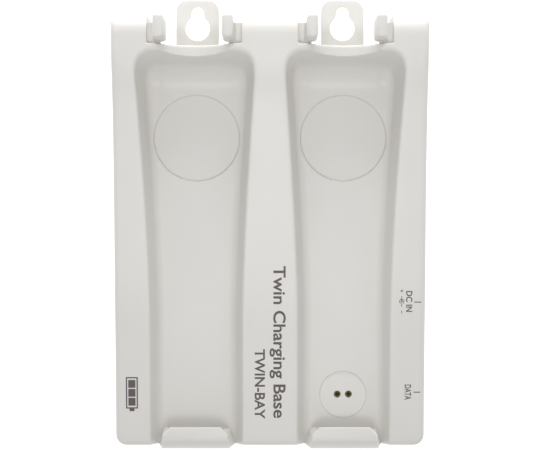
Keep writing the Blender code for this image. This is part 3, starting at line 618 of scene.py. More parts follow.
def plate(name, outline, low, high, turn=None):
    """An outline filled and extruded from one level to another; turn lays it another way."""
    bpy.ops.object.select_all(action="DESELECT")
    bpy.ops.mesh.primitive_circle_add(vertices=len(outline), radius=MM, fill_type="NGON")
    made = bpy.context.active_object
    made.name = name
    for vert, point in zip(made.data.vertices, outline):
        vert.co = (*point, low)
    bpy.ops.object.mode_set(mode="EDIT")
    bpy.ops.mesh.select_all(action="SELECT")
    bpy.ops.mesh.extrude_region_move(TRANSFORM_OT_translate={"value": (0, 0, high - low)})
    bpy.ops.object.mode_set(mode="OBJECT")
    if turn:
        made.data.transform(turn)
    return face_outwards(made)


def turned(name, profile, sides, turn=None):
    """A round piece built up from its lowest disc by extruding and scaling through (radius, level) steps."""
    bpy.ops.object.select_all(action="DESELECT")
    radius, level = profile[0]
    bpy.ops.mesh.primitive_circle_add(vertices=sides, radius=radius, fill_type="NGON", location=(0, 0, level))
    made = apply_place(bpy.context.active_object)
    made.name = name
    bpy.ops.object.mode_set(mode="EDIT")
    bpy.ops.mesh.select_all(action="SELECT")
    for next_radius, next_level in profile[1:]:
        bpy.ops.mesh.extrude_region_move(TRANSFORM_OT_translate={"value": (0, 0, next_level - level)})
        share = next_radius / radius
        bpy.ops.transform.resize(value=(share, share, 1), center_override=(0, 0, next_level))
        radius, level = next_radius, next_level
    bpy.ops.object.mode_set(mode="OBJECT")
    if turn:
        made.data.transform(turn)
    return face_outwards(made)


def loft(name, rings):
    """A closed solid through rings of equal point count."""
    bm = bmesh.new()
    rows = [[bm.verts.new(point) for point in ring] for ring in rings]
    for low, high in zip(rows, rows[1:]):
        for i in range(len(low)):
            j = (i + 1) % len(low)
            bm.faces.new((low[i], low[j], high[j], high[i]))
    bm.faces.new(rows[0][::-1])
    bm.faces.new(rows[-1])
    bmesh.ops.recalc_face_normals(bm, faces=bm.faces)
    return object_from(name, bm)


def rounded_outline(corners, radii, steps=5):
    """A polygon's outline with its corners rounded."""
    points = []
    count = len(corners)
    for i, radius in enumerate(radii):
        corner = Vector(corners[i])
        back = (Vector(corners[i - 1]) - corner).normalized()
        ahead = (Vector(corners[(i + 1) % count]) - corner).normalized()
        reach = radius / math.tan(back.angle(ahead) / 2)
        start, end = corner + back * reach, corner + ahead * reach
        for step in range(steps + 1):
            t = step / steps
            points.append(start * (1 - t) ** 2 + corner * 2 * t * (1 - t) + end * t**2)
    return [tuple(point) for point in points]


def rounded_rectangle(x, y, radius, steps=5):
    corners = ((x[0], y[0]), (x[1], y[0]), (x[1], y[1]), (x[0], y[1]))
    return rounded_outline(corners, [radius] * 4, steps)


# The plate's own x, y and height laid along other axes of the dock
FACING_X = Matrix(((0, 0, 1, 0), (1, 0, 0, 0), (0, 1, 0, 0), (0, 0, 0, 1)))
FACING_Y = Matrix(((1, 0, 0, 0), (0, 0, 1, 0), (0, 1, 0, 0), (0, 0, 0, 1)))


# Housing


def add_surface(bm, surface):
    points, faces = surface
    made = [bm.verts.new(point) for point in points]
    for face in faces:
        bm.faces.new([made[i] for i in face])
    loose = [v for v in made if not v.link_faces]
    bmesh.ops.delete(bm, geom=loose, context="VERTS")


def open_edges(bm, test):
    """Edges with one face whose two ends pass a test."""
    return [e for e in bm.edges if len(e.link_faces) == 1 and test(e.verts[0].co) and test(e.verts[1].co)]


def draw_edges(bm, edges, place):
    """Extrudes edges and puts the new points where place says."""
    made = bmesh.ops.extrude_edge_only(bm, edges=edges)["geom"]
    for vert in [g for g in made if isinstance(g, bmesh.types.BMVert)]:
        vert.co = place(vert.co)
    return [g for g in made if isinstance(g, bmesh.types.BMEdge) and len(g.link_faces) == 1]


def outer_plan(sizes):
    """Points and lines of the outer surface, closest where it curves most."""
    plan = Plan()

    def in_body(x, y, margin=0.12 * MM):
        return (body_inset(x, y) > margin) & (notch_distance(x, y) > margin) & (TOP_Y - y > margin)

    def near_edge(x, y):
        return in_body(x, y, 0.01 * MM)

    def in_rim(x, y):
        return in_body(x, y, 0.3 * MM)

    def in_end(x, y):
        return in_body(x, y) & (y > END_ZONE_Y)

    plan.add_line(body_ring(0, 0, FACE_SPACING), True)
    for share in EDGE_SHARES:
        ring = body_ring(share * sizes.edge, share * sizes.notch_edge, FACE_SPACING)
        plan.add_line(ring, False, near_edge)
    for centre in (-BAY_X, BAY_X):
        for inset in BAY_RINGS:
            plan.add_line(bay_ring(centre, inset * MM, FACE_SPACING), False, in_rim)
        for inset in BAY_END_RINGS:
            plan.add_line(bay_ring(centre, inset * MM, FACE_SPACING), False, in_end)
        xs = centre + np.arange(-16.6, 16.61, 0.42) * MM
        ys = np.arange(BAY_END_Y - 8.5 * MM, NOTCH_Y - 0.3 * MM, 0.42 * MM)
        plan.add_grid(xs, ys, in_body)
        for offset in THUMB_RINGS:
            plan.add_circle((centre, THUMB_Y), THUMB_RADIUS + offset * MM, 144)
    plan.add_circle((BAY_X, CONTACT_Y), DISC_HOLE, 96)
    plan.add_circle((BAY_X, CONTACT_Y), DISC_HOLE + 0.25 * MM, 96)

    def in_open(x, y):
        thumb = np.abs(np.hypot(from_bay_axis(x), y - THUMB_Y) - THUMB_RADIUS)
        disc = np.hypot(x - BAY_X, y - CONTACT_Y) - DISC_HOLE
        inset = bay_inset(x, y)
        saddle = (y > BAY_END_Y - 9 * MM) & (from_bay_axis(x) < 17 * MM)
        clear = (inset < -1.8 * MM) | (inset > 11.7 * MM) | ((inset > 8.2 * MM) & (y < END_ZONE_Y))
        clear &= in_body(x, y, 0.9 * MM) & (body_inset(x, y) > 2.4 * MM)
        return clear & ~saddle & (thumb > 1.2 * MM) & (disc > 0.9 * MM)

    plan.add_grid(np.arange(-70, 70.1, 2.0) * MM, np.arange(BOTTOM_Y + 1.2 * MM, CROWN_Y, 2.0 * MM), in_open)
    roll = CROWN_Y + CROWN_RADIUS * np.sin(np.radians(np.arange(3, 89, 4.5)))
    plan.add_grid(np.arange(-70, 70.1, 1.6) * MM, roll, in_body)
    return plan


def inside_body(x, y):
    """Whether a place is inside the body's outline, with all four corners rounded."""
    corner = (HALF_BODY - np.abs(x) < CORNER_RADIUS) & (TOP_Y - y < CORNER_RADIUS)
    high = rounded_inset(HALF_BODY - np.abs(x), TOP_Y - y, CORNER_RADIUS)
    in_corner = np.where(corner, high > 0, True)
    return (body_inset(x, y) > 0) & in_corner & (TOP_Y - y > 0)


def boss_places():
    places = []
    for index in range(1, 7):
        low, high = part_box(f"case_screw_{index}")
        places.append(((low.x + high.x) / 2, (low.y + high.y) / 2))
    return places


def boss_distance(x, y):
    bosses = np.array(boss_places())
    return np.hypot(x[:, None] - bosses[:, 0], y[:, None] - bosses[:, 1]).min(axis=1)


def inner_plan(sizes):
    """Points and lines of the inner surface, with a circle round each screw boss."""
    plan = Plan()
    wall = sizes.wall

    def in_body(x, y, margin=0.2 * MM):
        least = wall + margin
        return (body_inset(x, y) > least) & (notch_distance(x, y) > least) & (TOP_Y - y > least)

    def in_end(x, y):
        return in_body(x, y) & (y > END_ZONE_Y)

    plan.add_line(body_ring(wall, wall, INNER_SPACING), True)
    for centre in (-BAY_X, BAY_X):
        for inset in INNER_RINGS:
            keep = in_body if inset < 8 else in_end
            plan.add_line(bay_ring(centre, inset * MM, INNER_SPACING), False, keep)
    plan.add_circle((BAY_X, CONTACT_Y), DISC_HOLE, 96)
    for place in boss_places():
        plan.add_circle(place, BOSS_RADIUS, 32)

    def in_open(x, y):
        inset = bay_inset(x, y)
        disc = np.hypot(x - BAY_X, y - CONTACT_Y) - DISC_HOLE
        clear = (inset < -5 * MM) | (inset > 11.7 * MM) | ((inset > 8 * MM) & (y < END_ZONE_Y))
        clear &= in_body(x, y, MM)
        return clear & (boss_distance(x, y) > 4 * MM) & (disc > MM)

    plan.add_grid(np.arange(-68, 68.1, 4) * MM, np.arange(BOTTOM_Y + 4 * MM, TOP_Y, 4 * MM), in_open)
    return plan


def beyond_hole(x, y):
    """Distance outside the hole for the contact insert."""
    return np.hypot(x - BAY_X, y - CONTACT_Y) - DISC_HOLE


def at_hole(co):
    return abs(beyond_hole(co.x, co.y)) < 0.02 * MM


def away_from_hole(co):
    return not at_hole(co)


def to_foot(co):
    return co.x, co.y, FOOT_Z


def outer_skin(sizes):
    """The outer surface, drawn through the contact hole and down to the foot."""

    def inside(x, y):
        return inside_body(x, y) & (notch_distance(x, y) > 0) & (beyond_hole(x, y) > 0)

    def to_inner(co):
        return co.x, co.y, float(inner_level(np.array([co.x]), np.array([co.y]), sizes)[0])

    skin = bmesh.new()
    add_surface(skin, outer_plan(sizes).surface(inside, lambda x, y: outer_level(x, y, sizes)))
    bmesh.ops.remove_doubles(skin, verts=skin.verts, dist=SAME_POINT)
    draw_edges(skin, open_edges(skin, at_hole), to_inner)
    draw_edges(skin, open_edges(skin, away_from_hole), to_foot)
    return skin


def add_boss(skin, place, foot, pilot_top):
    """Draws one screw boss down from its circle, and its pilot hole up inside it."""
    centre = Vector(place)
    shrink = PILOT_RADIUS / BOSS_RADIUS
    ring = open_edges(skin, lambda co: abs((co.xy - centre).length - BOSS_RADIUS) < 0.02 * MM)
    ring = draw_edges(skin, ring, lambda co: (co.x, co.y, foot))
    ring = draw_edges(skin, ring, lambda co: (*(centre + (co.xy - centre) * shrink), co.z))
    ring = draw_edges(skin, ring, lambda co: (co.x, co.y, pilot_top))
    bmesh.ops.contextual_create(skin, geom=ring)


def inner_skin(sizes):
    """The inner surface, with its screw bosses, drawn down to the foot."""
    wall = sizes.wall

    def inside(x, y):
        across = HALF_BODY - wall - np.abs(x)
        along = np.minimum(y - BOTTOM_Y, TOP_Y - y) - wall
        within = (across > 0) & (along > 0) & (rounded_inset(across, along, CORNER_RADIUS - wall) > 0)
        clear = (notch_distance(x, y) > wall) & (boss_distance(x, y) > BOSS_RADIUS)
        return within & clear & (beyond_hole(x, y) > 0)

    skin = bmesh.new()
    add_surface(skin, inner_plan(sizes).surface(inside, lambda x, y: inner_level(x, y, sizes)))
    bmesh.ops.remove_doubles(skin, verts=skin.verts, dist=SAME_POINT)
    screw_low, screw_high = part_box("case_screw_1")
    for place in boss_places():
        add_boss(skin, place, screw_low.z + 3.9 * MM, screw_high.z + 0.3 * MM)
    edges = [e for e in skin.edges if len(e.link_faces) == 1 and away_from_hole(e.verts[0].co)]
    draw_edges(skin, edges, to_foot)
    return skin


def housing_shell(sizes):
    """The moulded shell: outer and inner surfaces joined along the foot and in the contact hole."""
    shell, inner = outer_skin(sizes), inner_skin(sizes)
    mesh = bpy.data.meshes.new("inner")
    inner.to_mesh(mesh)
    inner.free()
    shell.from_mesh(mesh)
    bpy.data.meshes.remove(mesh)
    bmesh.ops.remove_doubles(shell, verts=shell.verts, dist=SEAM_GAP)
    foot = [e for e in shell.edges if len(e.link_faces) == 1 and abs(e.verts[0].co.z - FOOT_Z) < SEAM_GAP]
    bmesh.ops.triangle_fill(shell, use_beauty=True, use_dissolve=False, edges=foot)
    bmesh.ops.recalc_face_normals(shell, faces=shell.faces)
    loose = sum(len(e.link_faces) != 2 for e in shell.edges)
    if loose:
        raise RuntimeError(f"the housing shell has {loose} open edges")
    return object_from("front_housing_moulding", shell)


def lip_ring(centre, z, shrink):
    """A foot lip's outline at one level: narrower, further in and more chamfered towards its top."""
    rise = (z - LIP_BASE) / (LIP_TOP - LIP_BASE)
    outer, inner = (LIP_HALF_WIDTH + share * (1 - rise) - shrink for share in (3.2 * MM, 0.9 * MM))
    chamfer = (0.8 + 2.8 * rise) * MM
    tip_y = LIP_TIP_Y - 2.6 * MM * (1 - rise) - shrink
    over = max(z - (LIP_TOP - LIP_BEND), 0.0)
    outer_y = LIP_OUTER_Y + LIP_BEND - math.sqrt(LIP_BEND**2 - over**2)
    half = [(outer, outer_y), (inner, tip_y - chamfer), (inner - chamfer, tip_y)]
    corners = half + [(-x, y) for x, y in reversed(half)]
    outline = rounded_outline(corners, [0.35 * MM, MM, MM, MM, MM, 0.35 * MM])
    return [(centre + x, y, z) for x, y in outline]


def lip_pocket_ring(centre, z, shrink):
    rise = (z - LIP_BASE) / (LIP_TOP - LIP_BASE)
    outer, inner = (LIP_HALF_WIDTH - LIP_WALL + share * (1 - rise) - shrink for share in (3.2 * MM, 0.9 * MM))
    near, far = BOTTOM_Y + LIP_WALL + shrink, LIP_TIP_Y + 8 * MM
    corners = [(outer, near), (inner, far), (-inner, far), (-outer, near)]
    outline = rounded_outline(corners, [1.2 * MM, 0.2 * MM, 0.2 * MM, 1.2 * MM])
    return [(centre + x, y, z) for x, y in outline]


def foot_lip(centre):
    """A hollow hooked wall that holds the foot of an instrument down in its bay."""
    rim = 0.7 * MM
    levels = [(LIP_BASE, 0.0), (0.5 * (LIP_BASE + LIP_TOP - LIP_BEND), 0.0)]
    for degrees in (0, 10, 20, 30, 40, 48, 55):
        levels.append((LIP_TOP - LIP_BEND * (1 - math.sin(math.radians(degrees))), 0.0))
    for degrees in (0, 18, 36, 54, 72, 90):
        angle = math.radians(degrees)
        levels.append((LIP_TOP - rim * (1 - math.sin(angle)), rim * (1 - math.cos(angle))))
    made = loft("foot_lip", [lip_ring(centre, z, shrink) for z, shrink in levels])
    steps = ((LIP_BASE - 3 * MM, 0.0), (LIP_POCKET_TOP - MM, 0.0), (LIP_POCKET_TOP - 0.3 * MM, 0.3 * MM))
    steps += ((LIP_POCKET_TOP, MM),)
    pocket = loft("lip_pocket", [lip_pocket_ring(centre, z, shrink) for z, shrink in steps])
    return combine(made, pocket, "DIFFERENCE")


def neck_clip(centre, side):
    """A round-tipped post standing on a web from the notch's side wall."""
    near, far = CLIP_X - CLIP_THICKNESS / 2, CLIP_X + CLIP_THICKNESS / 2
    root = NOTCH_HALF_WIDTH + 1.1 * MM
    bend = 0.48 * CLIP_THICKNESS
    post = rounded_rectangle((near, far), (CLIP_FOOT, CLIP_TIP), bend, 8)
    corners = [(CLIP_X, CLIP_FOOT), (root, CLIP_FOOT + 0.8 * MM), (root, CLIP_ROOT)]
    corners += [(far + 1.2 * MM, CLIP_ROOT - MM), (far - 0.2 * MM, CLIP_ROOT + MM), (CLIP_X, CLIP_ROOT + MM)]
    web = rounded_outline(corners, [0.1 * MM, 0.1 * MM, 0.1 * MM, MM, 0.3 * MM, 0.1 * MM])
    made = []
    web_y = (NOTCH_Y - 0.4 * MM, CLIP_Y[1] - 1.2 * MM)
    for name, outline, y in (("clip_post", post, CLIP_Y), ("clip_web", web, web_y)):
        outline = [(centre + side * x, z) for x, z in outline]
        made.append(plate(name, outline, *y, FACING_Y))
        bevel_edges(made[-1], 0.9 * MM, 4, 50)
    return combine(made[0], made[1], "UNION")


def socket_cutters():
    """Holes through the right-hand wall for the charging jack and the data port, with eased edges."""
    out = HALF_BODY - 0.5 * MM
    steps = ((4.2 * MM, out - 4 * MM), (4.2 * MM, out), (5.2 * MM, out + MM))
    jack = turned("jack_hole", steps, 64, Matrix.Translation((0, JACK_Y, JACK_Z)) @ FACING_X)
    half, high = PORT_HIGH.y - PORT_Y + 0.6 * MM, PORT_HIGH.z - PORT_Z + 0.45 * MM
    rings = []
    for x, grow in ((out - 4 * MM, 0.0), (out, 0.0), (out + MM, MM)):
        wide, tall = half + grow, high + grow
        outline = rounded_rectangle((PORT_Y - wide, PORT_Y + wide), (PORT_Z - tall, PORT_Z + tall), MM + grow)
        rings.append([(x, y, z) for y, z in outline])
    return jack, loft("port_hole", rings)


class DOCK_OT_housing(bpy.types.Operator):
    """Model the moulded front housing with its bays, notches, lips and clips"""

    bl_idname = "dock.housing"
    bl_label = "Front housing"

    def execute(self, context):
        piece = housing_shell(sizes_of())
        for centre in (-BAY_X, BAY_X):
            combine(piece, foot_lip(centre), "UNION")
            for side in (-1, 1):
                combine(piece, neck_clip(centre, side), "UNION")
        for cutter in socket_cutters():
            combine(piece, cutter, "DIFFERENCE")
        smooth(piece, 40)
        plastic = plastic_material("moulded_plastic", context.scene.dock_finish.plastic)
        finish_piece(piece, plastic, "housing_plastic", "front_housing")
        return {"FINISHED"}


# Rear cover


def keyhole(centre):
    """A keyhole's outline: a wide hole and a slot's end, joined by hollow curves."""
    wide, slot, blend = KEYHOLE_RADIUS, KEYHOLE_SLOT_RADIUS, KEYHOLE_BLEND
    apart = KEYHOLE_SLOT_Y - KEYHOLE_Y
    up = ((wide + blend) ** 2 - (slot + blend) ** 2 + apart**2) / (2 * apart)
    out = math.sqrt((wide + blend) ** 2 - up**2)
    low, high = math.degrees(math.atan2(up, out)), math.degrees(math.atan2(up - apart, out))
    right = arc_points((0, 0), wide, -90, low, 20)
    right += arc_points((out, up), blend, low + 180, high + 180, 6)[1:]
    right += arc_points((0, apart), slot, high, 90, 10)[1:]
    outline = right + [(-x, y) for x, y in reversed(right[1:-1])]
    return [(centre + x, KEYHOLE_Y + y) for x, y in outline]


def hanger_tab(centre):
    """A tab with its keyhole, on a root that joins the cover."""
    half = TAB_HALF_WIDTH
    x, y = (centre - half, centre + half), (NOTCH_Y + 0.3 * MM, COVER_HIGH.y)
    corners = ((x[0], y[0]), (x[1], y[0]), (x[1], y[1]), (x[0], y[1]))
    outline = rounded_outline(corners, [0.3 * MM, 0.3 * MM, TAB_CORNER, TAB_CORNER], 10)
    tab = plate("hanger_tab", outline, COVER_LOW.z, COVER_LOW.z + TAB_THICKNESS)
    hole = plate("keyhole", keyhole(centre), COVER_LOW.z - MM, COVER_LOW.z + 2 * TAB_THICKNESS)
    combine(tab, hole, "DIFFERENCE")
    bevel_edges(tab, 0.4 * MM, 3, 50)
    root_y = (NOTCH_Y - 9 * MM, NOTCH_Y + 4 * MM)
    outline = rounded_rectangle(x, root_y, 0.5 * MM)
    root = plate("tab_root", outline, COVER_LOW.z + 0.1 * MM, COVER_TOP - 0.1 * MM)
    return combine(tab, root, "UNION")


def drilled(piece, places, *steps):
    """Cuts the same stepped round hole at several places."""
    for place in places:
        combine(piece, turned("hole", steps, 48, Matrix.Translation((*place, 0))), "DIFFERENCE")


def centre_of(node):
    low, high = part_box(node)
    return (low.x + high.x) / 2, (low.y + high.y) / 2


def rear_cover(sizes):
    """The flat cover with its rib, hanger tabs, screw cups, standoffs and seats."""
    low = COVER_LOW.z
    cover = plate("rear_cover_moulding", body_ring(0, 0, 5 * MM), low, COVER_TOP)
    bevel_edges(cover, 0.35 * MM, 3, 40)
    gap = sizes.wall + 0.3 * MM
    rib = plate("locating_rib", body_ring(gap, gap, 5 * MM), low + MM, COVER_TOP + 2 * MM)
    inner = plate("rib_inside", body_ring(gap + RIB, gap + RIB, 5 * MM), low - MM, 2 * COVER_TOP)
    combine(cover, combine(rib, inner, "DIFFERENCE"), "UNION")
    for centre in (-BAY_X, BAY_X):
        combine(cover, hanger_tab(centre), "UNION")
        x, y = (centre - RIB / 2, centre + RIB / 2), (CONTACT_Y + 25 * MM, TOP_Y - 46 * MM)
        combine(cover, plate("stiffener", rounded_rectangle(x, y, 0.3 * MM), low + MM, COVER_HIGH.z), "UNION")
    screws, seat = boss_places(), low + 2.6 * MM
    for place in screws:
        steps = ((4.2 * MM, low + MM), (4.2 * MM, seat + 1.2 * MM))
        cup = turned("screw_cup", steps, 48, Matrix.Translation((*place, 0)))
        combine(cover, cup, "UNION")
    drilled(cover, screws, (2.9 * MM, 0.0), (2.9 * MM, seat), (1.45 * MM, seat), (1.45 * MM, 2 * seat))
    standoffs = [centre_of(f"board_screw_{index}") for index in (1, 2, 3)]
    for place in standoffs:
        steps = ((2.7 * MM, low + MM), (2.5 * MM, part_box("main_board")[0].z - 0.3 * MM))
        combine(cover, turned("standoff", steps, 40, Matrix.Translation((*place, 0))), "UNION")
    drilled(cover, standoffs, (1.3 * MM, low + 0.8 * MM), (1.3 * MM, 2 * seat))
    feet = [centre_of(f"rubber_foot_{index}") for index in (1, 2, 3, 4)]
    drilled(cover, feet, (5.3 * MM, 0.0), (5.3 * MM, low + 0.6 * MM))
    label_low, label_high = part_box("rating_label")
    x, y = ((label_low[i] - 0.3 * MM, label_high[i] + 0.3 * MM) for i in (0, 1))
    label_seat = plate("label_seat", rounded_rectangle(x, y, 1.8 * MM), 0.0, low + 0.5 * MM)
    return combine(cover, label_seat, "DIFFERENCE")


class DOCK_OT_cover(bpy.types.Operator):
    """Model the rear cover with its keyholes, screw cups and seats, and the label on it"""

    bl_idname = "dock.cover"
    bl_label = "Rear cover"

    def execute(self, context):
        cover = rear_cover(sizes_of())
        smooth(cover)
        plastic = plastic_material("cover_plastic", context.scene.dock_finish.cover)
        finish_piece(cover, plastic, "cover_plastic", "rear_cover")
        low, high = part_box("rating_label")
        outline = rounded_rectangle((low.x, high.x), (low.y, high.y), 1.5 * MM)
        label = plate("rating_label_film", outline, low.z, high.z)
        finish_piece(label, label_material(), "label_film", "rating_label")
        return {"FINISHED"}


# Screws and feet


def cross_recess(head, reach):
    """Cuts a cross-shaped driver recess that narrows upwards into a head standing on its face."""
    for turn in (0, 90):
        rings = []
        for depth, share in ((-0.2, 1.0), (0.3, 0.95), (1.0, 0.35)):
            x, y, z = reach * share, 0.34 * MM * (0.5 + share / 2), depth * MM
            rings.append([(x, -y, z), (x, y, z), (-x, y, z), (-x, -y, z)])
        blade = loft("blade", rings)
        blade.data.transform(Matrix.Rotation(math.radians(turn), 4, "Z"))
        combine(head, blade, "DIFFERENCE")


def in_metres(steps):
    """Steps of radius and height given in millimetres."""
    return [(radius * MM, height * MM) for radius, height in steps]


def screw_profile(head, total, pitch):
    """A head's steps, then a shank with rounded ridges, tapering to its tip."""
    shank, neck = head[-1]
    length = total - neck
    steps = head + [(shank, neck + 0.02 * MM)]
    for index in range(round((length - pitch) / pitch)):
        z = neck + pitch + index * pitch
        steps += [(0.8 * shank, z), (shank, z + 0.4 * pitch), (shank, z + 0.55 * pitch)]
    return steps + [(0.45 * shank, neck + length)]


def screw(name, head, pitch, cross):
    """A screw standing on its head, as long as the CAD node of its kind."""
    low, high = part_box(f"{name}_1")
    made = turned(name, screw_profile(in_metres(head), high.z - low.z, pitch), 36)
    cross_recess(made, cross)
    return made, low.z, high.z


class DOCK_OT_fasteners(bpy.types.Operator):
    """Model the case screws, the board screws and the rubber feet"""

    bl_idname = "dock.fasteners"
    bl_label = "Screws and feet"

    def execute(self, context):
        zinc = metal_material("zinc_plate", (0.55, 0.55, 0.56), 0.3)
        made, foot, _ = screw("case_screw", CASE_SCREW_HEAD, CASE_SCREW_PITCH, CASE_SCREW_CROSS)
        self.repeat(made, "case_screw", 6, foot, zinc)
        made, _, top = screw("board_screw", BOARD_SCREW_HEAD, BOARD_SCREW_PITCH, BOARD_SCREW_CROSS)
        made.data.transform(Matrix.Rotation(math.pi, 4, "X"))
        self.repeat(made, "board_screw", 3, top, zinc)
        rubber = rubber_material(context.scene.dock_finish.rubber)
        self.repeat(turned("rubber_foot", in_metres(RUBBER_FOOT), 64), "rubber_foot", 4, 0.0, rubber)
        return {"FINISHED"}

    def repeat(self, master, name, count, level, finish):
        """Copies a piece to each of its CAD nodes."""
        smooth(master)
        slot = "rubber" if name == "rubber_foot" else "steel"
        for index in range(1, count + 1):
            node = f"{name}_{index}"
            made = copy_of(master, f"{name}_shape_{index}", (*centre_of(node), level))
            finish_piece(made, finish, slot, node)
        bpy.data.objects.remove(master, do_unlink=True)


# Contacts and sockets


def dome(radius, top, height, degrees):
    """The steps of a rounded end that stops under its top."""
    angles = [math.radians(each) for each in degrees]
    return [(radius * math.cos(angle), top - height * (1 - math.sin(angle))) for angle in angles]


class DOCK_OT_contacts(bpy.types.Operator):
    """Model the contact insert and the two sprung pins, and finish their barrels and springs"""

    bl_idname = "dock.contacts"
    bl_label = "Charging contacts"

    def execute(self, context):
        low, high = DISC_LOW.z, DISC_HIGH.z
        radius = DISC_HOLE - 0.03 * MM
        steps = ((INSERT_FLANGE, low), (INSERT_FLANGE, low + 0.6 * MM), (radius, low + 0.65 * MM))
        steps += ((radius, high - 0.15 * MM), (radius - 0.15 * MM, high))
        insert = turned("contact_insert", steps, 128, Matrix.Translation((BAY_X, CONTACT_Y, 0)))
        places = [centre_of(f"contact_pin_{side}") for side in ("left", "right")]
        top = high - 0.25 * MM
        drilled(insert, places, (1.5 * MM, 0.0), (1.5 * MM, top), (1.75 * MM, high), (1.75 * MM, 2 * high))
        smooth(insert)
        plastic = plastic_material("insert_plastic", darker(context.scene.dock_finish.plastic, 1.03))
        finish_piece(insert, plastic, "housing_plastic", "contact_disc")
        # The plungers get a very dark metal colour, which dims the lamps' reflection on them
        darkened = metal_material("tarnished_contact", (0.035, 0.034, 0.022), 0.5)
        gold = metal_material("gold_plate", (0.1, 0.08, 0.04), 0.45)
        spring = metal_material("spring_steel", (0.5, 0.5, 0.5), 0.3)
        for side in ("left", "right"):
            node = f"contact_pin_{side}"
            low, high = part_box(node)
            steps = [(PLUNGER_COLLAR, low.z), (PLUNGER_COLLAR, low.z + 0.5 * MM)]
            steps += [(PLUNGER_RADIUS, low.z + 0.52 * MM)]
            steps += dome(PLUNGER_RADIUS, high.z, PLUNGER_DOME, (0, 20, 40, 60, 78))
            pin = turned(f"contact_plunger_{side}", steps, 40, Matrix.Translation((*centre_of(node), 0)))
            smooth(pin)
            finish_piece(pin, darkened, "gold_contact", node, body=node)
            paint(f"contact_barrel_{side}", gold)
            self.coil(side, spring)
        return {"FINISHED"}

    def coil(self, side, finish):
        """A coil spring as tall as its CAD node."""
        low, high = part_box(f"contact_spring_{side}")
        rise = high.z - low.z - 2 * COIL_WIRE
        bpy.ops.object.select_all(action="DESELECT")
        bpy.ops.mesh.primitive_circle_add(vertices=10, radius=COIL_WIRE, rotation=(math.pi / 2, 0, 0))
        made = apply_place(bpy.context.active_object)
        made.name = f"contact_coil_{side}"
        made.data.transform(Matrix.Translation(((high.x - low.x) / 2 - COIL_WIRE, 0, 0)))
        settings = {"angle": 2 * math.pi * COIL_TURNS, "screw_offset": rise, "axis": "Z"}
        steps = round(24 * COIL_TURNS)
        apply_modifier(made, "SCREW", **settings, steps=steps, render_steps=steps, use_smooth_shade=True)
        middle = centre_of(f"contact_spring_{side}")
        made.data.transform(Matrix.Translation((*middle, low.z + COIL_WIRE)))
        select_only(made)
        bpy.ops.object.mode_set(mode="EDIT")
        bpy.ops.mesh.select_all(action="SELECT")
        bpy.ops.mesh.fill_holes(sides=0)
        bpy.ops.mesh.normals_make_consistent(inside=False)
        bpy.ops.object.mode_set(mode="OBJECT")
        smooth(made, 60)
        made.data.materials.append(finish)
        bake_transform(made)
        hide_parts(f"contact_spring_{side}")


def paint(node, finish):
    """Gives a carried-over CAD node its material."""
    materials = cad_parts[node].data.materials
    materials.clear()
    materials.append(finish)


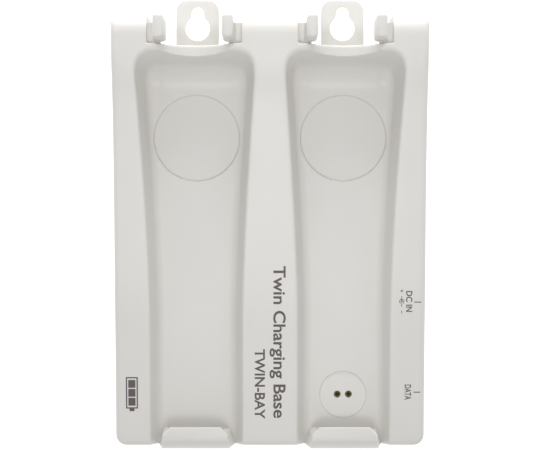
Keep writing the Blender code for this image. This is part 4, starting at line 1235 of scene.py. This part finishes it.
class DOCK_OT_sockets(bpy.types.Operator):
    """Model the charging jack and the data port behind the right-hand wall"""

    bl_idname = "dock.sockets"
    bl_label = "Sockets"

    def execute(self, context):
        black = black_material()
        gold = metal_material("socket_gold", (0.8, 0.6, 0.28), 0.25)
        steel = metal_material("port_steel", (0.6, 0.6, 0.61), 0.28)
        y, z = (JACK_LOW.y, JACK_HIGH.y), (JACK_LOW.z, JACK_HIGH.z)
        body_end = HALF_BODY - 2.5 * MM
        body = plate("jack_moulding", rounded_rectangle(y, z, 0.4 * MM), JACK_LOW.x, body_end, FACING_X)
        bevel_edges(body, 0.3 * MM, 2, 60)
        at = Matrix.Translation((0, JACK_Y, JACK_Z)) @ FACING_X
        steps = ((3.9 * MM, body_end - MM), (3.9 * MM, JACK_HIGH.x - 0.3 * MM), (3.6 * MM, JACK_HIGH.x))
        combine(body, turned("nose", steps, 64, at), "UNION")
        back = JACK_LOW.x + 1.5 * MM
        steps = ((2.75 * MM, back), (2.75 * MM, JACK_HIGH.x - 0.3 * MM), (3.2 * MM, JACK_HIGH.x + 0.1 * MM))
        combine(body, turned("bore", steps, 64, at), "DIFFERENCE")
        smooth(body)
        finish_piece(body, black, "black_plastic", "dc_jack_body")
        low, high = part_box("dc_jack_pin")
        steps = [(0.9 * MM, low.x), (MM, low.x + 0.1 * MM)]
        steps += dome(MM, high.x, MM, (0, 25, 50, 75))
        pin = turned("jack_centre_pin", steps, 40, at)
        smooth(pin)
        finish_piece(pin, gold, "gold_contact", "dc_jack_pin")
        low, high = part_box("dc_jack_leaf")
        bow = [(0.0, 0.0), (0.35, 0.0), (0.6, 0.45), (0.85, 0.0), (1.0, 0.0)]
        lower = [(low.x + (high.x - low.x) * share, low.z + rise * 0.4 * MM) for share, rise in bow]
        outline = lower + [(x, z + 0.15 * MM) for x, z in reversed(lower)]
        leaf = plate("jack_leaf_spring", outline, low.y, high.y, FACING_Y)
        finish_piece(leaf, gold, "gold_contact", "dc_jack_leaf")
        self.data_port(steel, black, gold)
        return {"FINISHED"}

    def data_port(self, steel, black, gold):
        """The port's sheet shell, its tongue and the strips under the tongue."""
        back, mouth = PORT_LOW.x, PORT_HIGH.x
        rings = {}
        for name, sheet, flare in (("outer", 0.0, 0.0), ("inner", 0.4 * MM, 0.25 * MM)):
            start = back + (MM if sheet else 0.0)
            rings[name] = []
            for x, grow in ((start, 0.0), (mouth - 0.8 * MM, 0.0), (mouth + (MM if sheet else 0.0), flare)):
                wide = PORT_HIGH.y - PORT_Y - sheet + grow
                high, low = PORT_HIGH.z - sheet + grow, PORT_LOW.z + sheet - grow
                corners = ((PORT_Y - 0.8 * wide, low), (PORT_Y + 0.8 * wide, low))
                corners += ((PORT_Y + wide, low + 1.4 * MM),)
                corners += ((PORT_Y + wide, high), (PORT_Y - wide, high), (PORT_Y - wide, low + 1.4 * MM))
                outline = rounded_outline(corners, [0.3 * MM] * 6, 4)
                rings[name].append([(x, y, z) for y, z in outline])
        shell = loft("port_sheet_shell", rings["outer"])
        combine(shell, loft("port_inside", rings["inner"]), "DIFFERENCE")
        smooth(shell)
        finish_piece(shell, steel, "steel", "port_shell")
        low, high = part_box("port_tongue")
        outline = rounded_rectangle((low.y, high.y), (low.z, high.z), 0.2 * MM)
        tongue = plate("port_tongue_moulding", outline, low.x, high.x, FACING_X)
        bevel_edges(tongue, 0.15 * MM, 2, 60)
        finish_piece(tongue, black, "black_plastic", "port_tongue")
        strips = []
        for index in range(5):
            y = PORT_Y + (index - 2) * 0.8 * MM
            strip_x, strip_y = (low.x + 1.5 * MM, high.x - 0.5 * MM), (y - 0.2 * MM, y + 0.2 * MM)
            outline = rounded_rectangle(strip_x, strip_y, 0.08 * MM, 2)
            strips.append(plate("strip", outline, low.z - 0.1 * MM, low.z + 0.1 * MM))
        for strip in strips[1:]:
            combine(strips[0], strip, "UNION")
        strips[0].name = "port_contact_strips"
        finish_piece(strips[0], gold, "gold_contact")


# Board


def packaged(node, name, lead_sides, pitch=0.8 * MM):
    """A chip: a body with eased edges over bent leads on some of its sides, and a mark at pin one."""
    low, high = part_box(node)
    middle, half = (low + high) / 2, (high - low) / 2
    lead = 0.9 * MM
    inner = [half.x - lead * ("x" in lead_sides), half.y - lead * ("y" in lead_sides)]
    x, y = (middle.x - inner[0], middle.x + inner[0]), (middle.y - inner[1], middle.y + inner[1])
    body = plate(name, rounded_rectangle(x, y, 0.2 * MM, 3), low.z + 0.12 * MM, high.z)
    bevel_edges(body, 0.12 * MM, 2, 50)
    spot = Matrix.Translation((x[0] + 0.7 * MM, y[0] + 0.7 * MM, 0))
    steps = ((0.25 * MM, high.z - 0.08 * MM), (0.3 * MM, high.z + MM))
    combine(body, turned("pin_one", steps, 24, spot), "DIFFERENCE")
    leads = []
    drop = middle.z - low.z
    for side, axis in ((0, "x"), (1, "y")):
        if axis not in lead_sides:
            continue
        count = int(2 * (inner[1 - side] - 0.4 * MM) / pitch) + 1
        for index in range(count):
            across = (index - (count - 1) / 2) * pitch
            root, end, sheet = inner[side], half[side], 0.15 * MM
            profile = [(root - 0.3 * MM, drop), (root + 0.3 * MM, drop), (end - 0.2 * MM, sheet)]
            profile += [(end, sheet), (end, 0.0), (end - 0.3 * MM, 0.0)]
            profile += [(root + 0.2 * MM, drop - sheet), (root - 0.3 * MM, drop - sheet)]
            for turn in (0, 180):
                spin = Matrix.Rotation(math.radians(turn + 90 * side), 4, "Z")
                place = Matrix.Translation((middle.x, middle.y, low.z)) @ spin
                leads.append(plate("lead", profile, across - sheet, across + sheet, place @ FACING_Y))
    return body, leads


def joined(name, pieces):
    """Several loose shapes as one piece."""
    select_only(*pieces)
    bpy.ops.object.join()
    made = bpy.context.active_object
    made.name = name
    return made


class DOCK_OT_board(bpy.types.Operator):
    """Model the parts on the charging board and finish the board itself"""

    bl_idname = "dock.board"
    bl_label = "Charging board"

    def execute(self, context):
        black = black_material()
        tin = metal_material("tinned_lead", (0.62, 0.62, 0.6), 0.3)
        paint("main_board", board_material())
        for node, sides in (("charger_chip", "x"), ("controller_chip", "xy")):
            body, leads = packaged(node, f"{node}_case", sides)
            smooth(body)
            finish_piece(body, black, "black_plastic", node)
            finish_piece(joined(f"{node}_leads", leads), tin, "steel")
        self.inductor(black)
        for index in (1, 2):
            self.capacitor(f"smoothing_capacitor_{index}", tin)
        self.crystal(tin)
        self.fuse(black, tin)
        return {"FINISHED"}

    def inductor(self, black):
        low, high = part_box("power_inductor")
        centre = Matrix.Translation((*centre_of("power_inductor"), 0))
        outline = rounded_rectangle((low.x, high.x), (low.y, high.y), 1.4 * MM)
        body = plate("inductor_core", outline, low.z, high.z)
        bevel_edges(body, 0.3 * MM, 3, 60)
        steps = ((2.6 * MM, high.z - 0.25 * MM), (2.7 * MM, high.z + MM))
        combine(body, turned("dish", steps, 64, centre), "DIFFERENCE")
        steps = ((1.9 * MM, low.z + MM), (1.8 * MM, high.z - 0.05 * MM))
        combine(body, turned("pole", steps, 48, centre), "UNION")
        smooth(body)
        finish_piece(body, black, "black_plastic", "power_inductor")

    def capacitor(self, node, tin):
        low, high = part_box(node)
        at = Matrix.Translation((*centre_of(node), low.z))
        tall = high.z - low.z
        steps = in_metres(CAPACITOR_FOOT)
        steps += [(2.0 * MM, tall - 0.3 * MM), (1.85 * MM, tall - 0.08 * MM), (1.6 * MM, tall)]
        can = turned(f"{node}_can", steps, 56)
        for turn in (0, 90):
            outline = rounded_rectangle((-1.2 * MM, 1.2 * MM), (-0.07 * MM, 0.07 * MM), 0.05 * MM, 2)
            spin = Matrix.Rotation(math.radians(turn), 4, "Z")
            vent = plate("vent", outline, tall - 0.1 * MM, tall + MM, spin)
            combine(can, vent, "DIFFERENCE")
        can.data.transform(at)
        smooth(can)
        finish_piece(can, tin, "steel", node)

    def crystal(self, tin):
        low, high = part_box("timing_crystal")
        x, y = (low.x, high.x), (low.y, high.y)
        can = plate("crystal_base", rounded_rectangle(x, y, 0.6 * MM), low.z, low.z + 0.25 * MM)
        inner_x, inner_y = ((side[0] + 0.25 * MM, side[1] - 0.25 * MM) for side in (x, y))
        lid = plate("crystal_lid", rounded_rectangle(inner_x, inner_y, 0.5 * MM), low.z + 0.1 * MM, high.z)
        bevel_edges(lid, 0.2 * MM, 3, 60)
        combine(can, lid, "UNION")
        smooth(can)
        finish_piece(can, tin, "steel", "timing_crystal")

    def fuse(self, black, tin):
        low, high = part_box("board_fuse")
        y, z = (low.y, high.y), (low.z, high.z)
        cap, step = 0.6 * MM, 0.06 * MM
        waist = rounded_rectangle((y[0] + step, y[1] - step), (z[0] + step, z[1] - step), 0.1 * MM)
        made = plate("fuse_body", waist, low.x + 0.2 * MM, high.x - 0.2 * MM, FACING_X)
        ends = []
        for x in ((low.x, low.x + cap), (high.x - cap, high.x)):
            ends.append(plate("fuse_end", rounded_rectangle(y, z, 0.1 * MM), *x, FACING_X))
            combine(made, copy_of(ends[-1], "end_space", (0, 0, 0)), "DIFFERENCE")
        finish_piece(made, black, "black_plastic")
        finish_piece(joined("fuse_ends", ends), tin, "steel", "board_fuse")


# Printed marks


def on_face(piece, depth):
    """Drops a flat mark onto the front face, standing a hair proud of it."""
    sizes = sizes_of()
    for vert in piece.data.vertices:
        level = outer_level(np.array([vert.co.x]), np.array([vert.co.y]), sizes)[0]
        vert.co.z = level + (INK_PROUD if vert.co.z > depth / 2 else INK_PROUD - depth)


def printed_text(words, across, along, weight):
    """Words that read down the dock, their letters' feet at across[0] and their first letter at along[0]."""
    bpy.ops.object.select_all(action="DESELECT")
    bpy.ops.object.text_add()
    text = bpy.context.active_object
    text.data.body = words
    text.data.offset = weight
    text.data.extrude = 0.5
    text.data.resolution_u = 6
    bpy.ops.object.convert(target="MESH")
    points = [vert.co for vert in text.data.vertices]
    left, right = min(p.x for p in points), max(p.x for p in points)
    top = max(p.y for p in points)
    for vert in text.data.vertices:
        x, y, z = vert.co
        up = across[0] + (across[1] - across[0]) * y / top
        down = along[0] + (along[1] - along[0]) * (x - left) / (right - left)
        vert.co = (up, down, max(z, 0.0) * 2 * INK_DEPTH)
    return face_outwards(text)


def printed_bar(x, y, radius=0.0):
    outline = rounded_rectangle(x, y, max(radius, 0.01 * MM), 4 if radius else 1)
    return plate("bar", outline, 0.0, INK_DEPTH)


def battery_sign(x, y):
    """A battery: its case, its cap and three filled cells."""
    line, cap, gap = 0.6 * MM, 1.2 * MM, 1.1 * MM
    body_y = (y[0] + cap, y[1])
    bars = [((x[0], x[0] + line), body_y), ((x[1] - line, x[1]), body_y)]
    bars += [((x[0], x[1]), (body_y[0], body_y[0] + line)), ((x[0], x[1]), (y[1] - line, y[1]))]
    bars.append(((x[0] + 1.6 * MM, x[1] - 1.6 * MM), (y[0], body_y[0] + line)))
    room = (body_y[1] - body_y[0] - 2 * gap) / 3
    for index in range(3):
        start = body_y[0] + gap + index * room
        bars.append(((x[0] + gap, x[1] - gap), (start + 0.25 * MM, start + room - 0.25 * MM)))
    return [printed_bar(*bar) for bar in bars]


def polarity_sign(x, y):
    """Centre-positive sign: a ring broken on one side round a dot, between a plus and a minus."""
    middle_x, middle_y = sum(x) / 2, sum(y) / 2
    line, half = 0.17 * MM, 0.55 * (x[1] - x[0])
    outer = arc_points((middle_x, middle_y), 1.15 * MM, -60, 240, 20)
    inner = arc_points((middle_x, middle_y), 1.15 * MM - 2 * line, 240, -60, 20)
    made = [plate("ring", outer + inner, 0.0, INK_DEPTH)]
    made.append(plate("dot", arc_points((middle_x, middle_y), 0.42 * MM, 0, 360, 16)[:-1], 0.0, INK_DEPTH))
    strokes = [((middle_x - line, middle_x + line), (middle_y + 0.3 * MM, middle_y + 2.4 * MM))]
    strokes += [((middle_x - line, middle_x + line), (middle_y - 2.4 * MM, middle_y - 0.9 * MM))]
    for end in y:
        strokes.append(((middle_x - line, middle_x + line), (end - 0.5 * half, end + 0.5 * half)))
    strokes.append(((middle_x - 0.5 * half, middle_x + 0.5 * half), (max(y) - line, max(y) + line)))
    return made + [printed_bar(*stroke) for stroke in strokes]


class DOCK_OT_marks(bpy.types.Operator):
    """Print generic words and signs on the front face"""

    bl_idname = "dock.marks"
    bl_label = "Printed marks"

    def execute(self, context):
        texts = (
            ("Twin Charging Base", NAME_ACROSS, NAME_ALONG, 0.018),
            ("TWIN-BAY", KIND_ACROSS, KIND_ALONG, 0.02),
            ("DC IN", JACK_WORDS_ACROSS, JACK_WORDS_ALONG, 0.022),
            ("DATA", PORT_WORDS_ACROSS, PORT_WORDS_ALONG, 0.022),
        )
        pieces = [printed_text(*each) for each in texts]
        pieces += battery_sign(BATTERY_ACROSS, BATTERY_ALONG)
        pieces += polarity_sign(POLARITY_ACROSS, JACK_WORDS_ALONG[::-1])
        for y in (JACK_Y, PORT_Y):
            pieces.append(printed_bar(POINTER_ACROSS, (y - POINTER_HALF, y + POINTER_HALF)))
        marks = joined("printed_marks", pieces)
        on_face(marks, INK_DEPTH)
        finish_piece(marks, ink_material(context.scene.dock_finish.ink), "black_plastic")
        return {"FINISHED"}


# Materials

# Where a Mix node keeps its two colours and their result
MIX_FIRST, MIX_SECOND, MIX_RESULT = 6, 7, 2


class Shade:
    """A shader socket that Python arithmetic extends with Math nodes."""

    def __init__(self, tree, socket):
        self.tree, self.socket = tree, socket

    def _math(self, operation, *values):
        node = self.tree.node("ShaderNodeMath", {"operation": operation}, dict(enumerate(values)))
        return node["Value"]

    def __add__(self, other):
        return self._math("ADD", self, other)

    def __mul__(self, other):
        return self._math("MULTIPLY", self, other)

    __radd__ = __add__
    __rmul__ = __mul__


class Tree:
    """The nodes of one material."""

    def __init__(self, name, colour, roughness, metallic=0.0, **others):
        self.material = bpy.data.materials.new(name)
        self.material.use_nodes = True
        self.nodes = self.material.node_tree.nodes
        self.links = self.material.node_tree.links
        self.shader = self.nodes["Principled BSDF"]
        self.set("Base Color", (*colour, 1.0))
        self.set("Roughness", roughness)
        self.set("Metallic", metallic)
        for key, value in others.items():
            self.set(key.replace("_", " ").title(), value)
        self.place = self.node("ShaderNodeTexCoord", {}, {})["Object"]

    def fill(self, socket, value):
        """Links a shade to a socket, or gives the socket a plain value."""
        if isinstance(value, Shade):
            self.links.new(value.socket, socket)
        else:
            socket.default_value = value

    def set(self, key, value):
        self.fill(self.shader.inputs[key], value)

    def node(self, kind, settings, values):
        """Adds a node: its settings first, then the values or links of its sockets."""
        made = self.nodes.new(kind)
        for key, value in settings.items():
            setattr(made, key, value)
        for key, value in values.items():
            self.fill(made.inputs[key], value)
        return {out.name: Shade(self, out) for out in made.outputs if out.enabled}

    def noise(self, scale, detail=2.0, vector=None):
        values = {"Vector": vector or self.place, "Scale": scale, "Detail": detail}
        return self.node("ShaderNodeTexNoise", {}, values)["Fac"]

    def mix(self, factor, first, second):
        """A colour between two others."""
        made = self.nodes.new("ShaderNodeMix")
        made.data_type = "RGBA"
        self.fill(made.inputs["Factor"], factor)
        self.fill(made.inputs[MIX_FIRST], (*first, 1.0))
        self.fill(made.inputs[MIX_SECOND], (*second, 1.0))
        return Shade(self, made.outputs[MIX_RESULT])

    def bump(self, height, distance, strength=1.0):
        values = {"Height": height, "Distance": distance, "Strength": strength}
        self.set("Normal", self.node("ShaderNodeBump", {}, values)["Normal"])


def darker(colour, share):
    return tuple(c * share for c in colour)


def clouded(tree, colour, scale, detail, dark, light):
    """Colour that drifts between a darker and a lighter shade."""
    cloud = tree.noise(scale, detail)
    tree.set("Base Color", tree.mix(cloud, darker(colour, dark), darker(colour, light)))


def grained(tree, scale, least, spread, depth, strength):
    """A fine grain, both in the roughness and standing up from the surface."""
    grain = tree.noise(scale, 2.0)
    tree.set("Roughness", least + spread * grain)
    tree.bump(grain, depth, strength)


def plastic_material(name, colour):
    colour = tuple(colour)
    tree = Tree(name, colour, 0.42)
    clouded(tree, colour, 38.0, 2.0, 0.965, 1.02)
    grained(tree, 2600.0, 0.36, 0.16, 0.02 * MM, 0.5)
    return tree.material


def metal_material(name, colour, roughness):
    tree = Tree(name, colour, roughness, 1.0)
    clouded(tree, colour, 420.0, 3.0, 0.82, 1.1)
    grained(tree, 1800.0, roughness - 0.08, 0.18, 0.01 * MM, 0.4)
    return tree.material


def rubber_material(colour):
    tree = Tree("foot_rubber", tuple(colour), 0.75)
    clouded(tree, colour, 260.0, 3.0, 0.8, 1.5)
    grained(tree, 3400.0, 0.68, 0.18, 0.03 * MM, 0.6)
    return tree.material


def black_material():
    """Moulded black plastic of the sockets and the chip cases."""
    tree = Tree("black_moulding", (0.02, 0.02, 0.021), 0.42)
    cloud = tree.noise(500.0, 2.0)
    tree.set("Base Color", tree.mix(cloud, (0.016, 0.016, 0.017), (0.028, 0.028, 0.03)))
    grained(tree, 5200.0, 0.36, 0.2, 0.01 * MM, 0.5)
    return tree.material


def board_material():
    """Green solder mask with copper tracks showing faintly through it."""
    tree = Tree("solder_mask", (0.03, 0.16, 0.07), 0.3)
    values = {"Vector": tree.place, "Scale": 190.0, "Mortar Size": 0.06}
    values |= {"Brick Width": 1.6, "Row Height": 0.5}
    tracks = tree.node("ShaderNodeTexBrick", {"offset": 0.5}, values)["Fac"]
    weave = tree.noise(900.0, 2.0)
    tree.set("Base Color", tree.mix(tracks * 0.8 + weave * 0.2, (0.02, 0.12, 0.05), (0.05, 0.24, 0.1)))
    tree.set("Roughness", 0.24 + 0.15 * weave)
    tree.bump(tracks + weave * 0.2, 0.03 * MM, 0.5)
    return tree.material


def label_material():
    """Silver film with a fine brushed grain."""
    tree = Tree("label_film", (0.62, 0.62, 0.63), 0.34, 0.35)
    mapping = {"Vector": tree.place, "Scale": (60.0, 2600.0, 1.0)}
    brushed = tree.noise(1.0, 3.0, tree.node("ShaderNodeMapping", {}, mapping)["Vector"])
    tree.set("Base Color", tree.mix(brushed, (0.56, 0.56, 0.57), (0.68, 0.68, 0.69)))
    tree.set("Roughness", 0.28 + 0.16 * brushed)
    return tree.material


def ink_material(colour):
    tree = Tree("pad_printed_ink", tuple(colour), 0.55)
    pigment = tree.noise(900.0, 3.0)
    tree.set("Base Color", tree.mix(pigment, darker(colour, 0.85), darker(colour, 1.25)))
    tree.set("Roughness", 0.5 + 0.15 * pigment)
    return tree.material


# Stage


class DOCK_OT_stage(bpy.types.Operator):
    """Set up the floor, the lights and the camera"""

    bl_idname = "dock.stage"
    bl_label = "Stage"

    def execute(self, context):
        bpy.ops.object.select_all(action="DESELECT")
        bpy.ops.mesh.primitive_plane_add(size=FLOOR_SIZE, location=(0, 0, FLOOR_LEVEL))
        floor = context.active_object
        floor.name = "floor"
        context.scene.view_settings.view_transform = "Standard"
        glow = {"emission_color": (1.0, 1.0, 1.0, 1.0), "emission_strength": FLOOR_GLOW}
        tree = Tree("floor_paper", (0.9, 0.9, 0.9), 0.7, **glow)
        floor.data.materials.append(tree.material)
        world = bpy.data.worlds.new("studio")
        world.use_nodes = True
        world.node_tree.nodes["Background"].inputs["Color"].default_value = (1.0, 1.0, 1.0, 1.0)
        world.node_tree.nodes["Background"].inputs["Strength"].default_value = SKY_STRENGTH
        context.scene.world = world
        add_light("key", **KEY_LIGHT)
        add_light("rim", **RIM_LIGHT)
        camera = bpy.data.cameras.new("camera")
        camera.lens = CAMERA_LENS
        camera.sensor_width = SENSOR_WIDTH
        camera.clip_start = NEAREST_SEEN
        rig = bpy.data.objects.new("camera", camera)
        rig.location = CAMERA_PLACE
        context.collection.objects.link(rig)
        context.scene.camera = rig
        return {"FINISHED"}


def add_light(name, place, aim, size, power, spread=180.0):
    """A square soft light that faces its aim; spread is in degrees."""
    light = bpy.data.lights.new(name, "AREA")
    light.shape = "SQUARE"
    light.size = size
    light.energy = power
    light.spread = math.radians(spread)
    rig = bpy.data.objects.new(name, light)
    rig.location = place
    rig.rotation_euler = (Vector(aim) - Vector(place)).to_track_quat("-Z", "Y").to_euler()
    bpy.context.collection.objects.link(rig)


class DOCK_PT_panel(bpy.types.Panel):
    """Sizes, colours and pieces of the dock"""

    bl_idname = "DOCK_PT_panel"
    bl_label = "Charge dock"
    bl_space_type = "VIEW_3D"
    bl_region_type = "UI"
    bl_category = "Dock"

    def draw(self, context):
        for group in (context.scene.dock_sizes, context.scene.dock_finish):
            for key in group.__annotations__:
                self.layout.prop(group, key)
        for operator in OPERATORS:
            self.layout.operator(operator.bl_idname)


OPERATORS = (
    DOCK_OT_stage,
    DOCK_OT_cover,
    DOCK_OT_fasteners,
    DOCK_OT_contacts,
    DOCK_OT_sockets,
    DOCK_OT_board,
    DOCK_OT_marks,
    DOCK_OT_housing,
)
CLASSES = (DockSizes, DockFinish, *OPERATORS, DOCK_PT_panel)


def register():
    for each in CLASSES:
        bpy.utils.register_class(each)
    bpy.types.Scene.dock_sizes = bpy.props.PointerProperty(type=DockSizes)
    bpy.types.Scene.dock_finish = bpy.props.PointerProperty(type=DockFinish)


def unregister():
    del bpy.types.Scene.dock_sizes
    del bpy.types.Scene.dock_finish
    for each in reversed(CLASSES):
        bpy.utils.unregister_class(each)


def main():
    register()
    bpy.ops.dock.stage()
    bpy.ops.dock.cover()
    bpy.ops.dock.fasteners()
    bpy.ops.dock.contacts()
    bpy.ops.dock.sockets()
    bpy.ops.dock.board()
    bpy.ops.dock.marks()
    bpy.ops.dock.housing()


if __name__ == "__main__":
    main()
